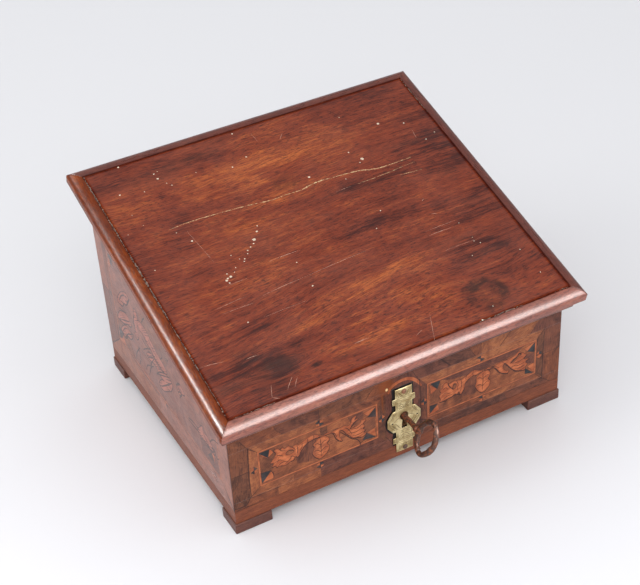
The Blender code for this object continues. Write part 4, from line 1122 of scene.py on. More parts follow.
# Engraved and scorched lines in the scrolls: x, height and half width
FRONT_ENGRAVING = (
    ((-151, 73, 0.1), (-146, 74.5, 0.3), (-141, 72, 0.1)),
    ((-148, 68, 0.1), (-142, 70, 0.3), (-136, 68.5, 0.1)),
    ((-149, 83, 0.1), (-144.5, 80, 0.3), (-141, 77.6, 0.15)),
    ((-145, 89, 0.1), (-142.5, 85.5, 0.3), (-138, 83.6, 0.1)),
    ((-133, 86, 0.1), (-129.5, 83.5, 0.25), (-127, 79, 0.1)),
    ((-125, 84, 0.1), (-124.5, 78, 0.3), (-126, 72, 0.1)),
    ((-119, 85, 0.1), (-119.6, 80, 0.2), (-121.6, 76, 0.1)),
    ((-113, 87.8, 0.1), (-112.6, 84, 0.25), (-114, 81.6, 0.1)),
    ((-106, 89, 0.1), (-105.4, 85.6, 0.2), (-106.6, 83.4, 0.1)),
    ((-134, 74, 0.1), (-130, 72, 0.25), (-128, 70, 0.1)),
    ((-140, 66, 0.1), (-134, 70, 0.25), (-131, 74, 0.1)),
    ((-98.4, 80, 0.15), (-98.2, 70, 0.3), (-98.6, 57, 0.1)),
    ((-98.4, 72, 0.2), (-102, 75.5, 0.25), (-105, 75.6, 0.1)),
    ((-98.4, 72, 0.2), (-94.5, 75.4, 0.25), (-91, 75.6, 0.1)),
    ((-98.4, 63, 0.2), (-102.5, 66.8, 0.25), (-106, 66.4, 0.1)),
    ((-98.4, 63, 0.2), (-94, 66.8, 0.25), (-90.4, 66.6, 0.1)),
    ((-98.4, 58, 0.1), (-102, 60.6, 0.2), (-104.6, 60.4, 0.1)),
    ((-98.4, 58, 0.1), (-95, 60.6, 0.2), (-92, 60.8, 0.1)),
    ((-83.3, 80.4, 0.2), (-80.7, 72, 0.35), (-75, 65.4, 0.2)),
    ((-75.6, 79, 0.2), (-68, 70, 0.4), (-62, 63, 0.4), (-56, 59.2, 0.4), (-53, 54, 0.2)),
    ((-86, 83, 0.1), (-82, 80, 0.25), (-79.6, 74, 0.1)), ((-70, 82, 0.1), (-66, 78, 0.3), (-62, 70, 0.1)),
    ((-66, 72.5, 0.1), (-58, 70.5, 0.3), (-50, 72, 0.1)),
    ((-61, 67, 0.1), (-55, 65.5, 0.3), (-48.6, 67, 0.1)),
    ((-62, 76, 0.1), (-55, 75, 0.3), (-49.6, 77.6, 0.1)),
    ((-59, 63.6, 0.1), (-54, 62.6, 0.2), (-49, 63.4, 0.1)),
    ((-64, 77.4, 0.3), (-60, 81.6, 0.5), (-56, 84.4, 0.2)),
    ((54.9, 84.6, 0.3), (57.5, 79, 0.5), (62, 73.6, 0.3)), ((47, 71, 0.1), (52, 73, 0.25), (57, 70, 0.1)),
    ((48, 65, 0.1), (54, 67.6, 0.3), (61, 67.6, 0.1)), ((49, 79, 0.1), (52.6, 80, 0.25), (55, 77, 0.1)),
    ((66, 83.4, 0.1), (68, 78, 0.25), (66.6, 70, 0.1)),
    ((71.6, 83, 0.1), (72.6, 76, 0.3), (70.6, 67, 0.1)),
    ((79, 85.6, 0.1), (77.6, 82, 0.2), (78, 79.6, 0.1)),
    ((87, 87.8, 0.1), (86.4, 84.6, 0.2), (87, 81.4, 0.1)),
    ((99.4, 80, 0.15), (99.6, 68, 0.3), (99, 56, 0.1)),
    ((99.5, 71, 0.1), (95.6, 74.6, 0.25), (92.6, 74.4, 0.1)),
    ((99.5, 71, 0.1), (103.6, 74.6, 0.25), (106.6, 74.4, 0.1)),
    ((99.5, 62, 0.1), (95, 65.6, 0.25), (91.4, 65, 0.1)),
    ((99.5, 62, 0.1), (104, 65.6, 0.25), (107.4, 65, 0.1)),
    ((113, 81, 0.2), (117.4, 75, 0.4), (122, 69.6, 0.4), (131, 64.8, 0.3)),
    ((108, 83, 0.1), (114, 82, 0.25), (120, 78, 0.1)), ((124, 83, 0.1), (129, 79, 0.3), (134, 72, 0.1)),
    ((138, 72, 0.1), (145, 70, 0.3), (153, 71, 0.1)),
    ((141, 67.6, 0.1), (147, 66, 0.3), (154.6, 67, 0.1)),
    ((137, 76, 0.1), (145, 75, 0.3), (152, 76.6, 0.1)),
    ((135, 77.6, 0.4), (139.5, 80.8, 1.0), (143, 82, 0.4)),
    ((143.6, 83, 0.3), (146, 85.8, 0.8), (148, 84, 0.3)),
    ((147, 62.4, 0.1), (151, 62.6, 0.2), (155, 64, 0.1)),
    ((44.6, 63, 0.2), (56, 63.6, 0.4), (66, 64.6, 0.4), (70, 62.4, 0.4)),
    ((131, 76.6, 0.2), (136, 69.4, 0.35), (142, 64, 0.35), (152, 60, 0.3)),
)
# Black and orange triangles of the panels' corners and dice
FRONT_BLACK = (
    ((-166.8, 93.4), (-156, 93.4), (-158, 84)), ((-167.5, 66.8), (-156.3, 65.3), (-166.4, 54.1)),
    ((-33.3, 91.6), (-42.7, 83.7), (-33.3, 80.4)), ((-49.4, 55.6), (-44.5, 62.2), (-35, 53.2)),
    ((34.3, 93.2), (45.4, 92.6), (41.7, 84)), ((33, 63.6), (41.9, 62.9), (33.2, 54.4)),
    ((165.8, 91.6), (157, 84.3), (165.8, 80.2)), ((154.7, 61), (154.7, 54.4), (164.4, 51.8)),
    ((-102.6, 102.6), (-98.2, 101.2), (-98.2, 105)), ((-98, 101), (-93.6, 99.4), (-98, 97.6)),
    ((-174.1, 78.6), (-171, 75.4), (-174, 74.4)), ((-174.2, 74), (-177.4, 72.6), (-174.4, 70)),
    ((-100.4, 45.6), (-96.4, 47.4), (-100.4, 49)), ((-100.4, 45.4), (-104.6, 43.8), (-100.4, 42.2)),
    ((-26, 78.2), (-29.4, 74.6), (-26, 73.6)), ((-26, 73.2), (-22.8, 71.4), (-26, 68.6)),
    ((96, 100.6), (91.6, 103), (96, 104)), ((96.2, 100.4), (100.6, 98.6), (96.2, 97)),
    ((25.5, 77.4), (22.2, 74.4), (25.5, 73.4)), ((25.6, 73), (28.6, 71.4), (25.6, 68.8)),
    ((98.9, 45), (94.6, 47.2), (98.9, 48.6)), ((172.7, 73.4), (176, 75), (172.8, 77.8)),
)
FRONT_ORANGE = (
    ((-165.4, 90), (-158.4, 83.6), (-152, 88), (-154.6, 92.6)),
    ((-165.6, 54.1), (-155.7, 63.6), (-153.2, 54.6)), ((-46.6, 90.2), (-34, 93), (-42, 84.8)),
    ((-43.4, 63.2), (-35.2, 64.8), (-34, 54.4)), ((33.4, 91), (41, 83.6), (34, 80)),
    ((30.5, 51.4), (42.4, 61), (43.6, 54.6)), ((153.4, 89), (164.7, 92.6), (156.8, 84.8)),
    ((158, 63.2), (166, 64.8), (165.8, 53)), ((-102.8, 100), (-98.2, 97.4), (-98.2, 101)),
    ((-98, 101.2), (-93.4, 102.6), (-98, 105)), ((-174.3, 74.4), (-177.6, 75.8), (-174.4, 78.6)),
    ((-174, 74), (-170.8, 72.4), (-174, 69.8)), ((-100.6, 45.6), (-104.8, 47.2), (-100.6, 49)),
    ((-100.2, 45.4), (-96.2, 43.8), (-100.2, 42)), ((-25.8, 73.6), (-22.6, 75.4), (-25.8, 78.2)),
    ((-26.2, 73.2), (-29.6, 71.4), (-26.2, 68.6)), ((96.2, 100.8), (101, 102), (96.2, 104)),
    ((95.8, 100.4), (91.4, 98.6), (95.8, 97)), ((25.7, 73.4), (28.8, 75), (25.7, 77.4)),
    ((25.3, 73), (22.2, 71.4), (25.3, 68.8)), ((99.1, 45), (103.4, 47), (99.1, 48.4)),
    ((98.7, 44.8), (94.6, 42.8), (98.7, 41.2)), ((172.5, 73.4), (169.4, 75.2), (172.4, 77.8)),
    ((172.5, 73), (169.2, 71.2), (172.5, 68.6)), ((172.9, 73), (175.8, 71.4), (172.9, 68.6)),
)
FRONT_STRINGS = ((-169.4, -30.8, 49.6, 96.6), (29.0, 168.6, 48.6, 96.0))
# Joined blocks above the lock plate: an orange arch as x, height and half width
FRONT_ARCH = (((-17, 104, 1.2), (-14, 110, 1.9), (-6, 113.4, 2.0), (3, 113.8, 2.0), (11, 110.8, 2.0),
               (18, 104, 1.8), (22, 97, 1.0)),)


def block_fields(x, z, blocks):
    """Wood, grain and joints of each point: the last block that covers it decides, and hides lines below."""
    tint = np.zeros((*x.shape, 3))
    tone, turn, number = np.zeros((3, *x.shape))
    joint = np.full(x.shape, 4.0)
    for index, (wood, degrees, corners) in enumerate(blocks):
        away = polygon_distance(x, z, corners)
        inside = away <= 0
        tint[inside] = WOODS[wood][:3]
        tone[inside] = WOODS[wood][3]
        turn[inside] = math.radians(degrees)
        number[inside] = index + 1
        joint = np.minimum(np.where(inside, 4.0, joint), np.abs(away))
    along = x * np.cos(turn) + z * np.sin(turn)
    across = z * np.cos(turn) - x * np.sin(turn)
    grain = np.stack((along * MM, across * MM, number * 0.13), -1)
    return {"grain": grain, "tint": tint, "tone": tone, "joint": joint - 0.05}


def inlay_fields(x, z, parts):
    """Distance fields of one face: scrolls less their openings, engraving and hatching, strings, dice, joints."""
    fields = block_fields(x, z, parts["blocks"])
    rough = 0.38 * soft_noise(x + 0.7 * z, 1.8, 31) + 0.38 * soft_noise(z - 0.6 * x, 1.9, 32)
    scroll = nearest(polygon_distance(x, z, rounded_path(shape, 4, True)) for shape in parts["scrolls"])
    scroll = scroll + rough - parts.get("swell", 0.0)
    if parts["holes"]:
        holes = nearest(polygon_distance(x, z, rounded_path(shape, 4, True)) for shape in parts["holes"])
        scroll = np.maximum(scroll, -holes)
    under = np.clip(-np.gradient(scroll, z[1, 0] - z[0, 0], axis=0), 0, 1)
    fields["scroll"] = scroll
    fields["edge"] = np.abs(scroll - 0.1) - (0.10 + 0.42 * under) * (0.75 + 0.5 * soft_noise(x + z, 3.0, 8))
    for name in ("engraving", "joints", "arch"):
        strokes = parts.get(name) or (((900, 900, 0.1), (901, 901, 0.1)),)
        fields[name] = nearest(stroke_distance(x, z, stroke) for stroke in strokes)
    fields["ink"] = np.minimum(fields.pop("engraving"), np.where(scroll < 3, fields.pop("edge"), 4.0))
    patchy = soft_noise(x, 6.0, 33) + soft_noise(z, 6.0, 34)
    cut = np.abs((0.5 * x - 0.86 * z + 2.4 * soft_noise(x - z, 9.0, 35)) / 3.1 % 1 - 0.5) * 3.1 + 0.04
    fields["ink"] = np.minimum(fields["ink"], np.where((scroll < -0.5) & (patchy > -0.05), cut, 4.0))
    fields["joint"] = np.minimum(fields["joint"], fields.pop("joints"))
    fields["black"] = nearest(polygon_distance(x, z, shape) for shape in parts["black"]) - 0.3
    orange = nearest(polygon_distance(x, z, shape) for shape in parts["orange"])
    fields["orange"] = np.minimum(orange - 0.3, fields.pop("arch"))
    fields["string"] = nearest(parts["string"](x, z))
    return fields


def front_strings(x, z):
    """Rings of stringing: each lies between a rectangle and one 2 mm smaller."""
    for left, right, low, high in FRONT_STRINGS:
        inset = np.maximum(np.maximum(left - x, x - right), np.maximum(low - z, z - high))
        yield np.abs(inset + 1.0) - 0.95


def front_stains(x, z):
    """Amber varnish beside the lock plate with a run and a drop painted with a highlight, and a near-black band
    round the plate, painted shade of the gap there.
    """
    away = np.hypot((x + 21) / 9.5, (z - 113) / 11) + 0.25 * soft_noise(x + z * 0.5, 7.0, 61)
    stain = 1 / (1 + np.exp((away - 1) * 7))
    run = stroke_distance(x, z, ((-25, 104, 1.4), (-24.6, 92, 1.0), (-24, 81, 0.4)))
    stain = np.maximum(stain, 0.9 / (1 + np.exp(run * 3.0)))
    # The drop's disc, filled with a painted highlight.
    drop = np.hypot(x + 19.3, (z - 109.2) * 0.8) - 1.3
    # Band round the plate, filled with painted shade.
    plate = np.maximum(np.abs(x + 0.6) - 13.0, np.abs(z - 63) - 43.8) + 0.5 * soft_noise(z + x, 5.0, 62)
    lobes = np.hypot(x + 1.2, (z - 62) * 1.1) - 21.0
    return {"stain": stain, "drop": drop, "recess": np.minimum(plate, lobes)}


def inlay_material(name, colours, leaf, painted_sheen, roughness, specular):
    """Veneers: ground woods, scrolls, dice, strings, glue lines, engraving and varnish stains, under a painted
    sheen.
    """
    def inlays(tree, colour, height):
        place = grain_attribute(tree)
        fine = ramp(tree, noise(tree, place, 160.0, (0.5, 1, 1), 3.0), 0.35, 0.65)
        scroll = attribute(tree, "scroll")
        pale = mix_colour(tree, fine, *leaf)
        scorched = mix_colour(tree, ramp(tree, scroll, -2.6, -0.2), pale, leaf[0])
        orange = mix_colour(tree, fine, rgb(156, 76, 42), rgb(188, 104, 62))
        black = mix_colour(tree, fine, rgb(26, 30, 34), rgb(48, 54, 58))
        string = mix_colour(tree, fine, rgb(152, 80, 48), rgb(194, 110, 68))
        glue = rgb(44, 24, 21)
        layers = ((scroll, scorched), (attribute(tree, "orange"), orange), (attribute(tree, "black"), black),
                  (attribute(tree, "string"), string))
        for distance, inlay in layers:
            edge = math_node(tree, "MULTIPLY", ramp(tree, distance, 0.55, 0.15), 0.62)
            colour = mix_colour(tree, edge, colour, glue)
            colour = mix_colour(tree, ramp(tree, distance, 0.12, -0.12), colour, inlay)
        worn = ramp(tree, noise(tree, object_place(tree), 34.0, (1, 1, 1), 4.0), 0.5, 0.75, 0.0, 0.30)
        colour = mix_colour(tree, worn, colour, rgb(134, 82, 64))
        # Painted sheen: the colour is drawn towards a pale mauve, standing for the pale room reflected in the
        # varnish; the sides take a fifth of it, the front a fiftieth.
        colour = mix_colour(tree, painted_sheen, colour, rgb(150, 94, 78))
        for line, wide, strength in (("ink", 0.34, 0.92), ("joint", 0.24, 0.74)):
            mask = math_node(tree, "MULTIPLY", ramp(tree, attribute(tree, line), wide, -0.06), strength)
            colour = mix_colour(tree, mask, colour, glue)
        amber = mix_colour(tree, 0.75, colour, rgb(132, 62, 16))
        colour = mix_colour(tree, attribute(tree, "stain"), colour, amber)
        # Painted highlight: the drop's disc is near white, its glint.
        colour = mix_colour(tree, ramp(tree, attribute(tree, "drop"), 0.7, -0.5), colour, rgb(246, 206, 150))
        # Painted shade: the band round the plate is near black, the shade in the gap there.
        colour = mix_colour(tree, ramp(tree, attribute(tree, "recess"), 0.5, -0.3), colour, rgb(20, 12, 11))
        return colour, height

    def woods(tree):
        shares = add_node(tree, "ShaderNodeSeparateXYZ", {"Vector": attribute(tree, "tint", "Vector")})
        kinds = (("X", (rgb(98, 52, 30), rgb(146, 82, 50), rgb(182, 110, 66))),
                 ("Y", (rgb(62, 32, 27), rgb(98, 55, 45), rgb(124, 74, 58))),
                 ("Z", (rgb(64, 37, 26), rgb(102, 61, 42), rgb(136, 86, 58))))
        mixed = list(colours)
        for axis, palette in kinds:
            mixed = [mix_colour(tree, shares.outputs[axis], one, other) for one, other in zip(mixed, palette)]
        return mixed

    def mottled(tree):
        burr = noise(tree, object_place(tree), 58.0, (1, 1, 1), 4.0, 0.6, 1.2)
        return math_node(tree, "ADD", attribute(tree, "tone"), ramp(tree, burr, 0.3, 0.7, -0.13, 0.13))
    return wood_material(name, woods, grain_attribute, roughness=roughness, fineness=1.5, coat=0.05, pores=0.7,
                         specular=specular, tone=mottled, extra=inlays)


FRONT_PARTS = {"blocks": FRONT_BLOCKS, "scrolls": FRONT_SCROLLS, "holes": FRONT_HOLES,
               "engraving": FRONT_ENGRAVING,
               "joints": FRONT_JOINTS, "arch": FRONT_ARCH, "black": FRONT_BLACK, "orange": FRONT_ORANGE,
               "string": front_strings}


def veneer_piece(name, rects, spacing, place, fields_of, material, node):
    """Veneer laid in rectangles of one plane, with the same fields on all of them."""
    parts, fields = [], []
    for x0, x1, z0, z1 in rects:
        columns = max(round((x1 - x0) / spacing) + 1, 3)
        rows = max(round((z1 - z0) / spacing) + 1, 3)
        x, z = np.meshgrid(np.linspace(x0, x1, columns), np.linspace(z0, z1, rows))
        parts.append((place(x, z), grid_faces(*x.shape)))
        fields.append({key: value.reshape(x.size, -1) for key, value in fields_of(x, z).items()})
    merged = {key: np.concatenate([f[key] for f in fields]) for key in fields[0]}
    merged = {key: value if value.shape[1] == 3 else value[:, 0] for key, value in merged.items()}
    piece = add_piece(name, *join_arrays(parts), material, "box", merged)
    close_openings(piece, (0, VENEER - 0.00005, 0))
    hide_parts(node)
    return piece


class WRITINGBOX_OT_front_marquetry(bpy.types.Operator):
    """Veneers of the front: two scroll panels in a ground of shaped blocks"""
    bl_idname = "writing_box.front_marquetry"
    bl_label = "Front Marquetry"

    def execute(self, context):
        material = inlay_material(
            "front_marquetry_wood", shades(context, "front"), shades(context, "front_leaf"), 0.02, 0.42, 0.2)
        top = lid_underside(FRONT_FACE) / MM
        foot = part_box("front_veneer")[0].z / MM
        side = SIDE_FACE / MM

        def fields_of(x, z):
            return {**inlay_fields(x, z, FRONT_PARTS), **front_stains(x, z)}
        low, high = 40.4, 106.4
        panels = (("front_left_panel", (-180, -20, low, high)), ("front_right_panel", (20, 180, low, high)))
        for name, rect in panels:
            veneer_piece(name, (rect,), 0.43, on_front, fields_of, material, "front_veneer")
        rects = ((-side, side, high, top), (-side, side, foot, low), (-side, -180, low, high),
                 (180, side, low, high), (-20, -8, low, high), (8, 20, low, high), (-8, 8, low, 50),
                 (-8, 8, 75, high))
        veneer_piece("front_ground_veneers", rects, 0.65, on_front, fields_of, material, "front_veneer")
        return {"FINISHED"}


# Blocks of a side: wood, turn of the grain and corners, as distance to the front of the middle and height
SIDE_BLOCKS = (
    ("dull", 0, ((-170, 20), (170, 20), (170, 260), (-170, 260))),
    ("rosy", 88, ((-170, 121), (-140, 121), (-140, 260), (-170, 260))),
    ("dull", 90, ((-170, 20), (-153, 40), (-140, 50), (-140, 121), (-170, 121))),
    ("amber", 0, ((-170, 20), (-20, 20), (-20, 53), (-129, 61), (-153, 40))),
    ("rosy", 2, ((-20, 20), (162, 20), (150, 40), (137, 53), (-20, 57))),
    ("rosy", 90, ((137, 53), (170, 26), (170, 160), (137, 126))),
    ("dull", 90, ((-140, 50), (-129, 61), (-129, 202), (-140, 216))),
    ("dull", 16, ((-140, 216), (-129, 202), (137, 126), (170, 150), (170, 260), (-140, 260))),
    ("red", 4, ((-129, 61), (137, 53), (137, 126), (-129, 202))),
    ("olive", 30, ((-129, 61), (-80, 61), (-92, 82), (-112, 96), (-129, 100))),
    ("olive", 20, ((-50, 150), (-38, 120), (16, 118), (30, 140), (0, 160))),
    ("purple", 40, ((92, 60), (132, 58), (132, 76), (112, 80), (92, 76))),
)
SIDE_JOINTS = (
    ((-165, 33, 0.3), (-150, 44, 0.35), (-129, 61, 0.25)),
    ((-140, 121, 0.2), (-152, 121.5, 0.3), (-165, 121, 0.2)),
    ((-140, 52, 0.2), (-140.4, 120, 0.25), (-140, 214, 0.2)),
    ((137, 53, 0.2), (150, 40, 0.3), (162, 29, 0.2)), ((137, 126, 0.2), (148, 134, 0.2)),
    ((-129, 202, 0.2), (-140, 215, 0.2)), ((0, 30, 0.15), (0.6, 54, 0.2)),
)
SIDE_SCROLLS = (
    ((-114, 124), (-108, 134), (-98, 144), (-84, 152), (-76, 151), (-82, 144), (-86, 137), (-94, 134),
     (-100, 127)),
    ((-122, 97), (-114, 108), (-104, 114), (-92, 118), (-80, 113), (-84, 108), (-94, 106), (-100, 101),
     (-112, 98)),
    ((-116, 82), (-108, 92), (-98, 98), (-88, 96), (-80, 98), (-88, 88), (-98, 86), (-106, 78)),
    ((-70, 104), (-66, 116), (-67, 126), (-62, 143), (-56, 144), (-58, 132), (-61, 122), (-60, 110),
     (-65, 103)),
    ((-58, 128), (-52, 134), (-40, 136), (-28, 132), (-16, 124), (0, 118), (15, 111), (6, 106),
     (-12, 108), (-24, 114), (-36, 118), (-44, 124), (-52, 123)),
    ((-40, 98), (-30, 106), (-18, 106), (-8, 100), (4, 102), (16, 105), (27, 103), (18, 96), (4, 92),
     (-8, 93), (-20, 99), (-32, 96)),
    ((-12, 76), (-4, 86), (6, 91), (16, 99), (27, 102), (22, 92), (12, 84), (4, 78), (-4, 74)),
    ((88, 84), (94, 92), (100, 98), (104, 92), (112, 92), (120, 88), (126, 80), (116, 82), (106, 79),
     (98, 81)),
    ((42, 108), (46, 116), (54, 118), (60, 112), (52, 108), (47, 103)),
)
SIDE_ENGRAVING = (
    ((-108, 129, 0.2), (-99, 140, 0.5), (-89, 147, 0.2)),
    ((-118, 97, 0.2), (-101, 105, 0.5), (-84, 114, 0.2)),
    ((-114, 115, 0.2), (-100, 118, 0.35), (-90, 122, 0.1)),
    ((-106, 78, 0.2), (-96, 89, 0.5), (-80, 98, 0.2)), ((-79, 66, 0.2), (-74, 78, 0.5), (-62, 92, 0.2)),
    ((-43, 139, 0.2), (-38, 146, 0.4), (-32, 152, 0.2)),
    ((-50, 98, 0.2), (-38, 107, 0.4), (-26, 114, 0.2)), ((-42, 68, 0.2), (-33, 84, 0.35), (-24, 92, 0.2)),
    ((-16, 88, 0.2), (-5, 97, 0.5), (8, 104, 0.2)), ((-6, 77, 0.3), (8, 88, 0.6), (26, 103, 0.2)),
    ((64, 84, 0.2), (76, 87, 0.5), (92, 87, 0.2)), ((62, 81, 0.2), (80, 82, 0.35), (90, 84, 0.1)),
    ((118, 92, 0.2), (127, 101, 0.4), (140, 105, 0.2)), ((40, 111, 0.2), (46, 117, 0.4), (51, 116, 0.2)),
    ((120, 84, 0.2), (127, 87, 0.4), (131, 79, 0.3), (136, 82, 0.2)),
    ((-68, 110, 0.2), (-70, 124, 0.3), (-63, 136, 0.2)),
    ((-96, 78, 0.1), (-88, 70, 0.35), (-84, 64, 0.1)), ((46, 98, 0.1), (52, 106, 0.35), (50, 114, 0.1)),
    ((-30, 126, 0.1), (-18, 118, 0.3), (-6, 113, 0.1)), ((100, 96, 0.1), (104, 88, 0.3), (112, 84, 0.1)),
    ((-84, 136, 0.1), (-78, 144, 0.5), (-72, 152, 0.1)), ((-60, 93, 0.1), (-45, 92, 0.3), (-30, 90, 0.1)),
    ((-36, 97, 0.1), (-28, 102, 0.4), (-20, 107, 0.1)), ((-18, 86, 0.1), (0, 96, 0.45), (22, 108, 0.1)),
    ((44, 104, 0.1), (48, 108, 0.4), (44, 113, 0.4), (50, 118, 0.1)),
    ((-70, 64, 0.1), (-64, 76, 0.3), (-66, 92, 0.1)),
    ((90, 76, 0.1), (104, 81, 0.55), (118, 79, 0.45), (128, 86, 0.1)),
    ((-50, 70, 0.1), (-44, 80, 0.35), (-34, 86, 0.1)), ((-20, 104, 0.1), (-30, 92, 0.4), (-36, 78, 0.1)),
    ((-96, 96, 0.1), (-104, 92, 0.4), (-112, 84, 0.1)), ((0, 118, 0.1), (8, 126, 0.35), (4, 134, 0.1)),
    ((-56, 118, 0.1), (-46, 112, 0.4), (-34, 110, 0.1)),
)
SIDE_BLACK = (
    ((-123, 182), (-110, 186), (-116, 170)), ((-133, 64), (-129, 82), (-111, 80), (-121, 67)),
    ((108, 66), (118, 77), (123, 67)), ((-8, 57.6), (-1, 61.6), (-1, 57.4)), ((-1, 57), (4, 53.8), (-1, 53)),
    ((-140, 121), (-133, 125), (-133, 118)),
)
SIDE_ORANGE = (
    ((-128, 167), (-120, 179), (-121, 165)), ((-126, 64), (-114, 75), (-110, 62)),
    ((117, 76), (125, 79), (124, 66)), ((-0.6, 57.4), (4.4, 60), (-0.6, 61.6)),
    ((-1.4, 57), (-7, 55), (-1.4, 52.8)),
)
# Plainer right side: one leaf pair and corner triangles
PLAIN_SCROLLS = (
    ((-6, 112), (-22, 124), (-40, 128), (-58, 124), (-48, 116), (-34, 112), (-20, 106)),
    ((6, 110), (22, 114), (40, 112), (56, 104), (44, 100), (30, 98), (16, 100)),
)
PLAIN_BLACK = (((-129, 64), (-129, 80), (-114, 64)), ((135, 56), (135, 70), (121, 56)))
PLAIN_ORANGE = (((-127, 82), (-112, 82), (-112, 66)), ((132, 72), (119, 72), (119, 58)))


def side_string(a, z):
    """Ring of stringing 2 mm wide round the panel of a side, whose top follows the slope."""
    corners = np.array(((-129, 61), (137, 53), (137, 126), (-129, 202)), float)
    ring = polygon_distance(a, z, corners)
    yield np.where(ring < 6, np.abs(ring + 1.0) - 0.95, 4.0)


SIDE_PARTS = {"blocks": SIDE_BLOCKS, "scrolls": SIDE_SCROLLS, "swell": 1.3, "holes": (),
              "engraving": SIDE_ENGRAVING,
              "joints": SIDE_JOINTS, "black": SIDE_BLACK, "orange": SIDE_ORANGE, "string": side_string}
PLAIN_PARTS = {**SIDE_PARTS, "scrolls": PLAIN_SCROLLS, "engraving": (), "black": PLAIN_BLACK,
               "orange": PLAIN_ORANGE}


class WRITINGBOX_OT_side_marquetry(bpy.types.Operator):
    """Veneers of the sides: scrolls on the left, a plainer panel on the right"""
    bl_idname = "writing_box.side_marquetry"
    bl_label = "Side Marquetry"

    def execute(self, context):
        material = inlay_material(
            "side_marquetry_wood", shades(context, "side"), shades(context, "side_leaf"), 0.20, 0.34, 0.42)
        for word, side, parts, columns, rows in (("left", -1, SIDE_PARTS, 352, 209),
                                                 ("right", 1, PLAIN_PARTS, 240, 140)):
            low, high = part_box(f"{word}_veneer")
            ends = sorted(((MIDDLE - high.y) / MM, (MIDDLE - low.y) / MM))
            foot = low.z / MM
            a, t = np.meshgrid(np.linspace(*ends, columns), np.linspace(0, 1, rows))
            top = lid_underside(MIDDLE - a * MM) / MM
            z = foot + (top - foot) * t
            fields = inlay_fields(a, z, parts)
            fields["ink"] = fields["ink"] - 0.28
            fields["joint"] = fields["joint"] - 0.15
            far = np.full(a.shape, 4.0)
            fields = {**fields, "stain": np.zeros(a.shape), "drop": far, "recess": far}
            fields = {key: value.reshape(a.size, -1) if value.ndim > 2 else value.ravel()
                      for key, value in fields.items()}
            points = on_side(side, a, z)
            piece = add_piece(f"{word}_side_panel", points, grid_faces(*a.shape), material, "box", fields)
            close_openings(piece, (side * (0.00005 - VENEER), 0, 0))
            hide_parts(f"{word}_veneer")
        return {"FINISHED"}


# Lock plate and key

# Half width of the plate at each height, from its foot
PLATE_EDGE = (
    (20.0, 10.2), (32.0, 10.2), (32.7, 13.8), (39.6, 13.8), (40.3, 10.2), (48.0, 10.2), (48.7, 13.8),
    (57.5, 20.3), (67.5, 20.3), (76.3, 13.8), (77.0, 10.2), (84.7, 10.2), (85.4, 13.8), (92.3, 13.8),
    (93.0, 10.2), (105.0, 10.2),
)
# Keyhole: height of its round, radius, depth of the slot and half width of the slot at its top and foot
KEYHOLE = (67.2, 5.1, 16.5, 2.0, 3.6)
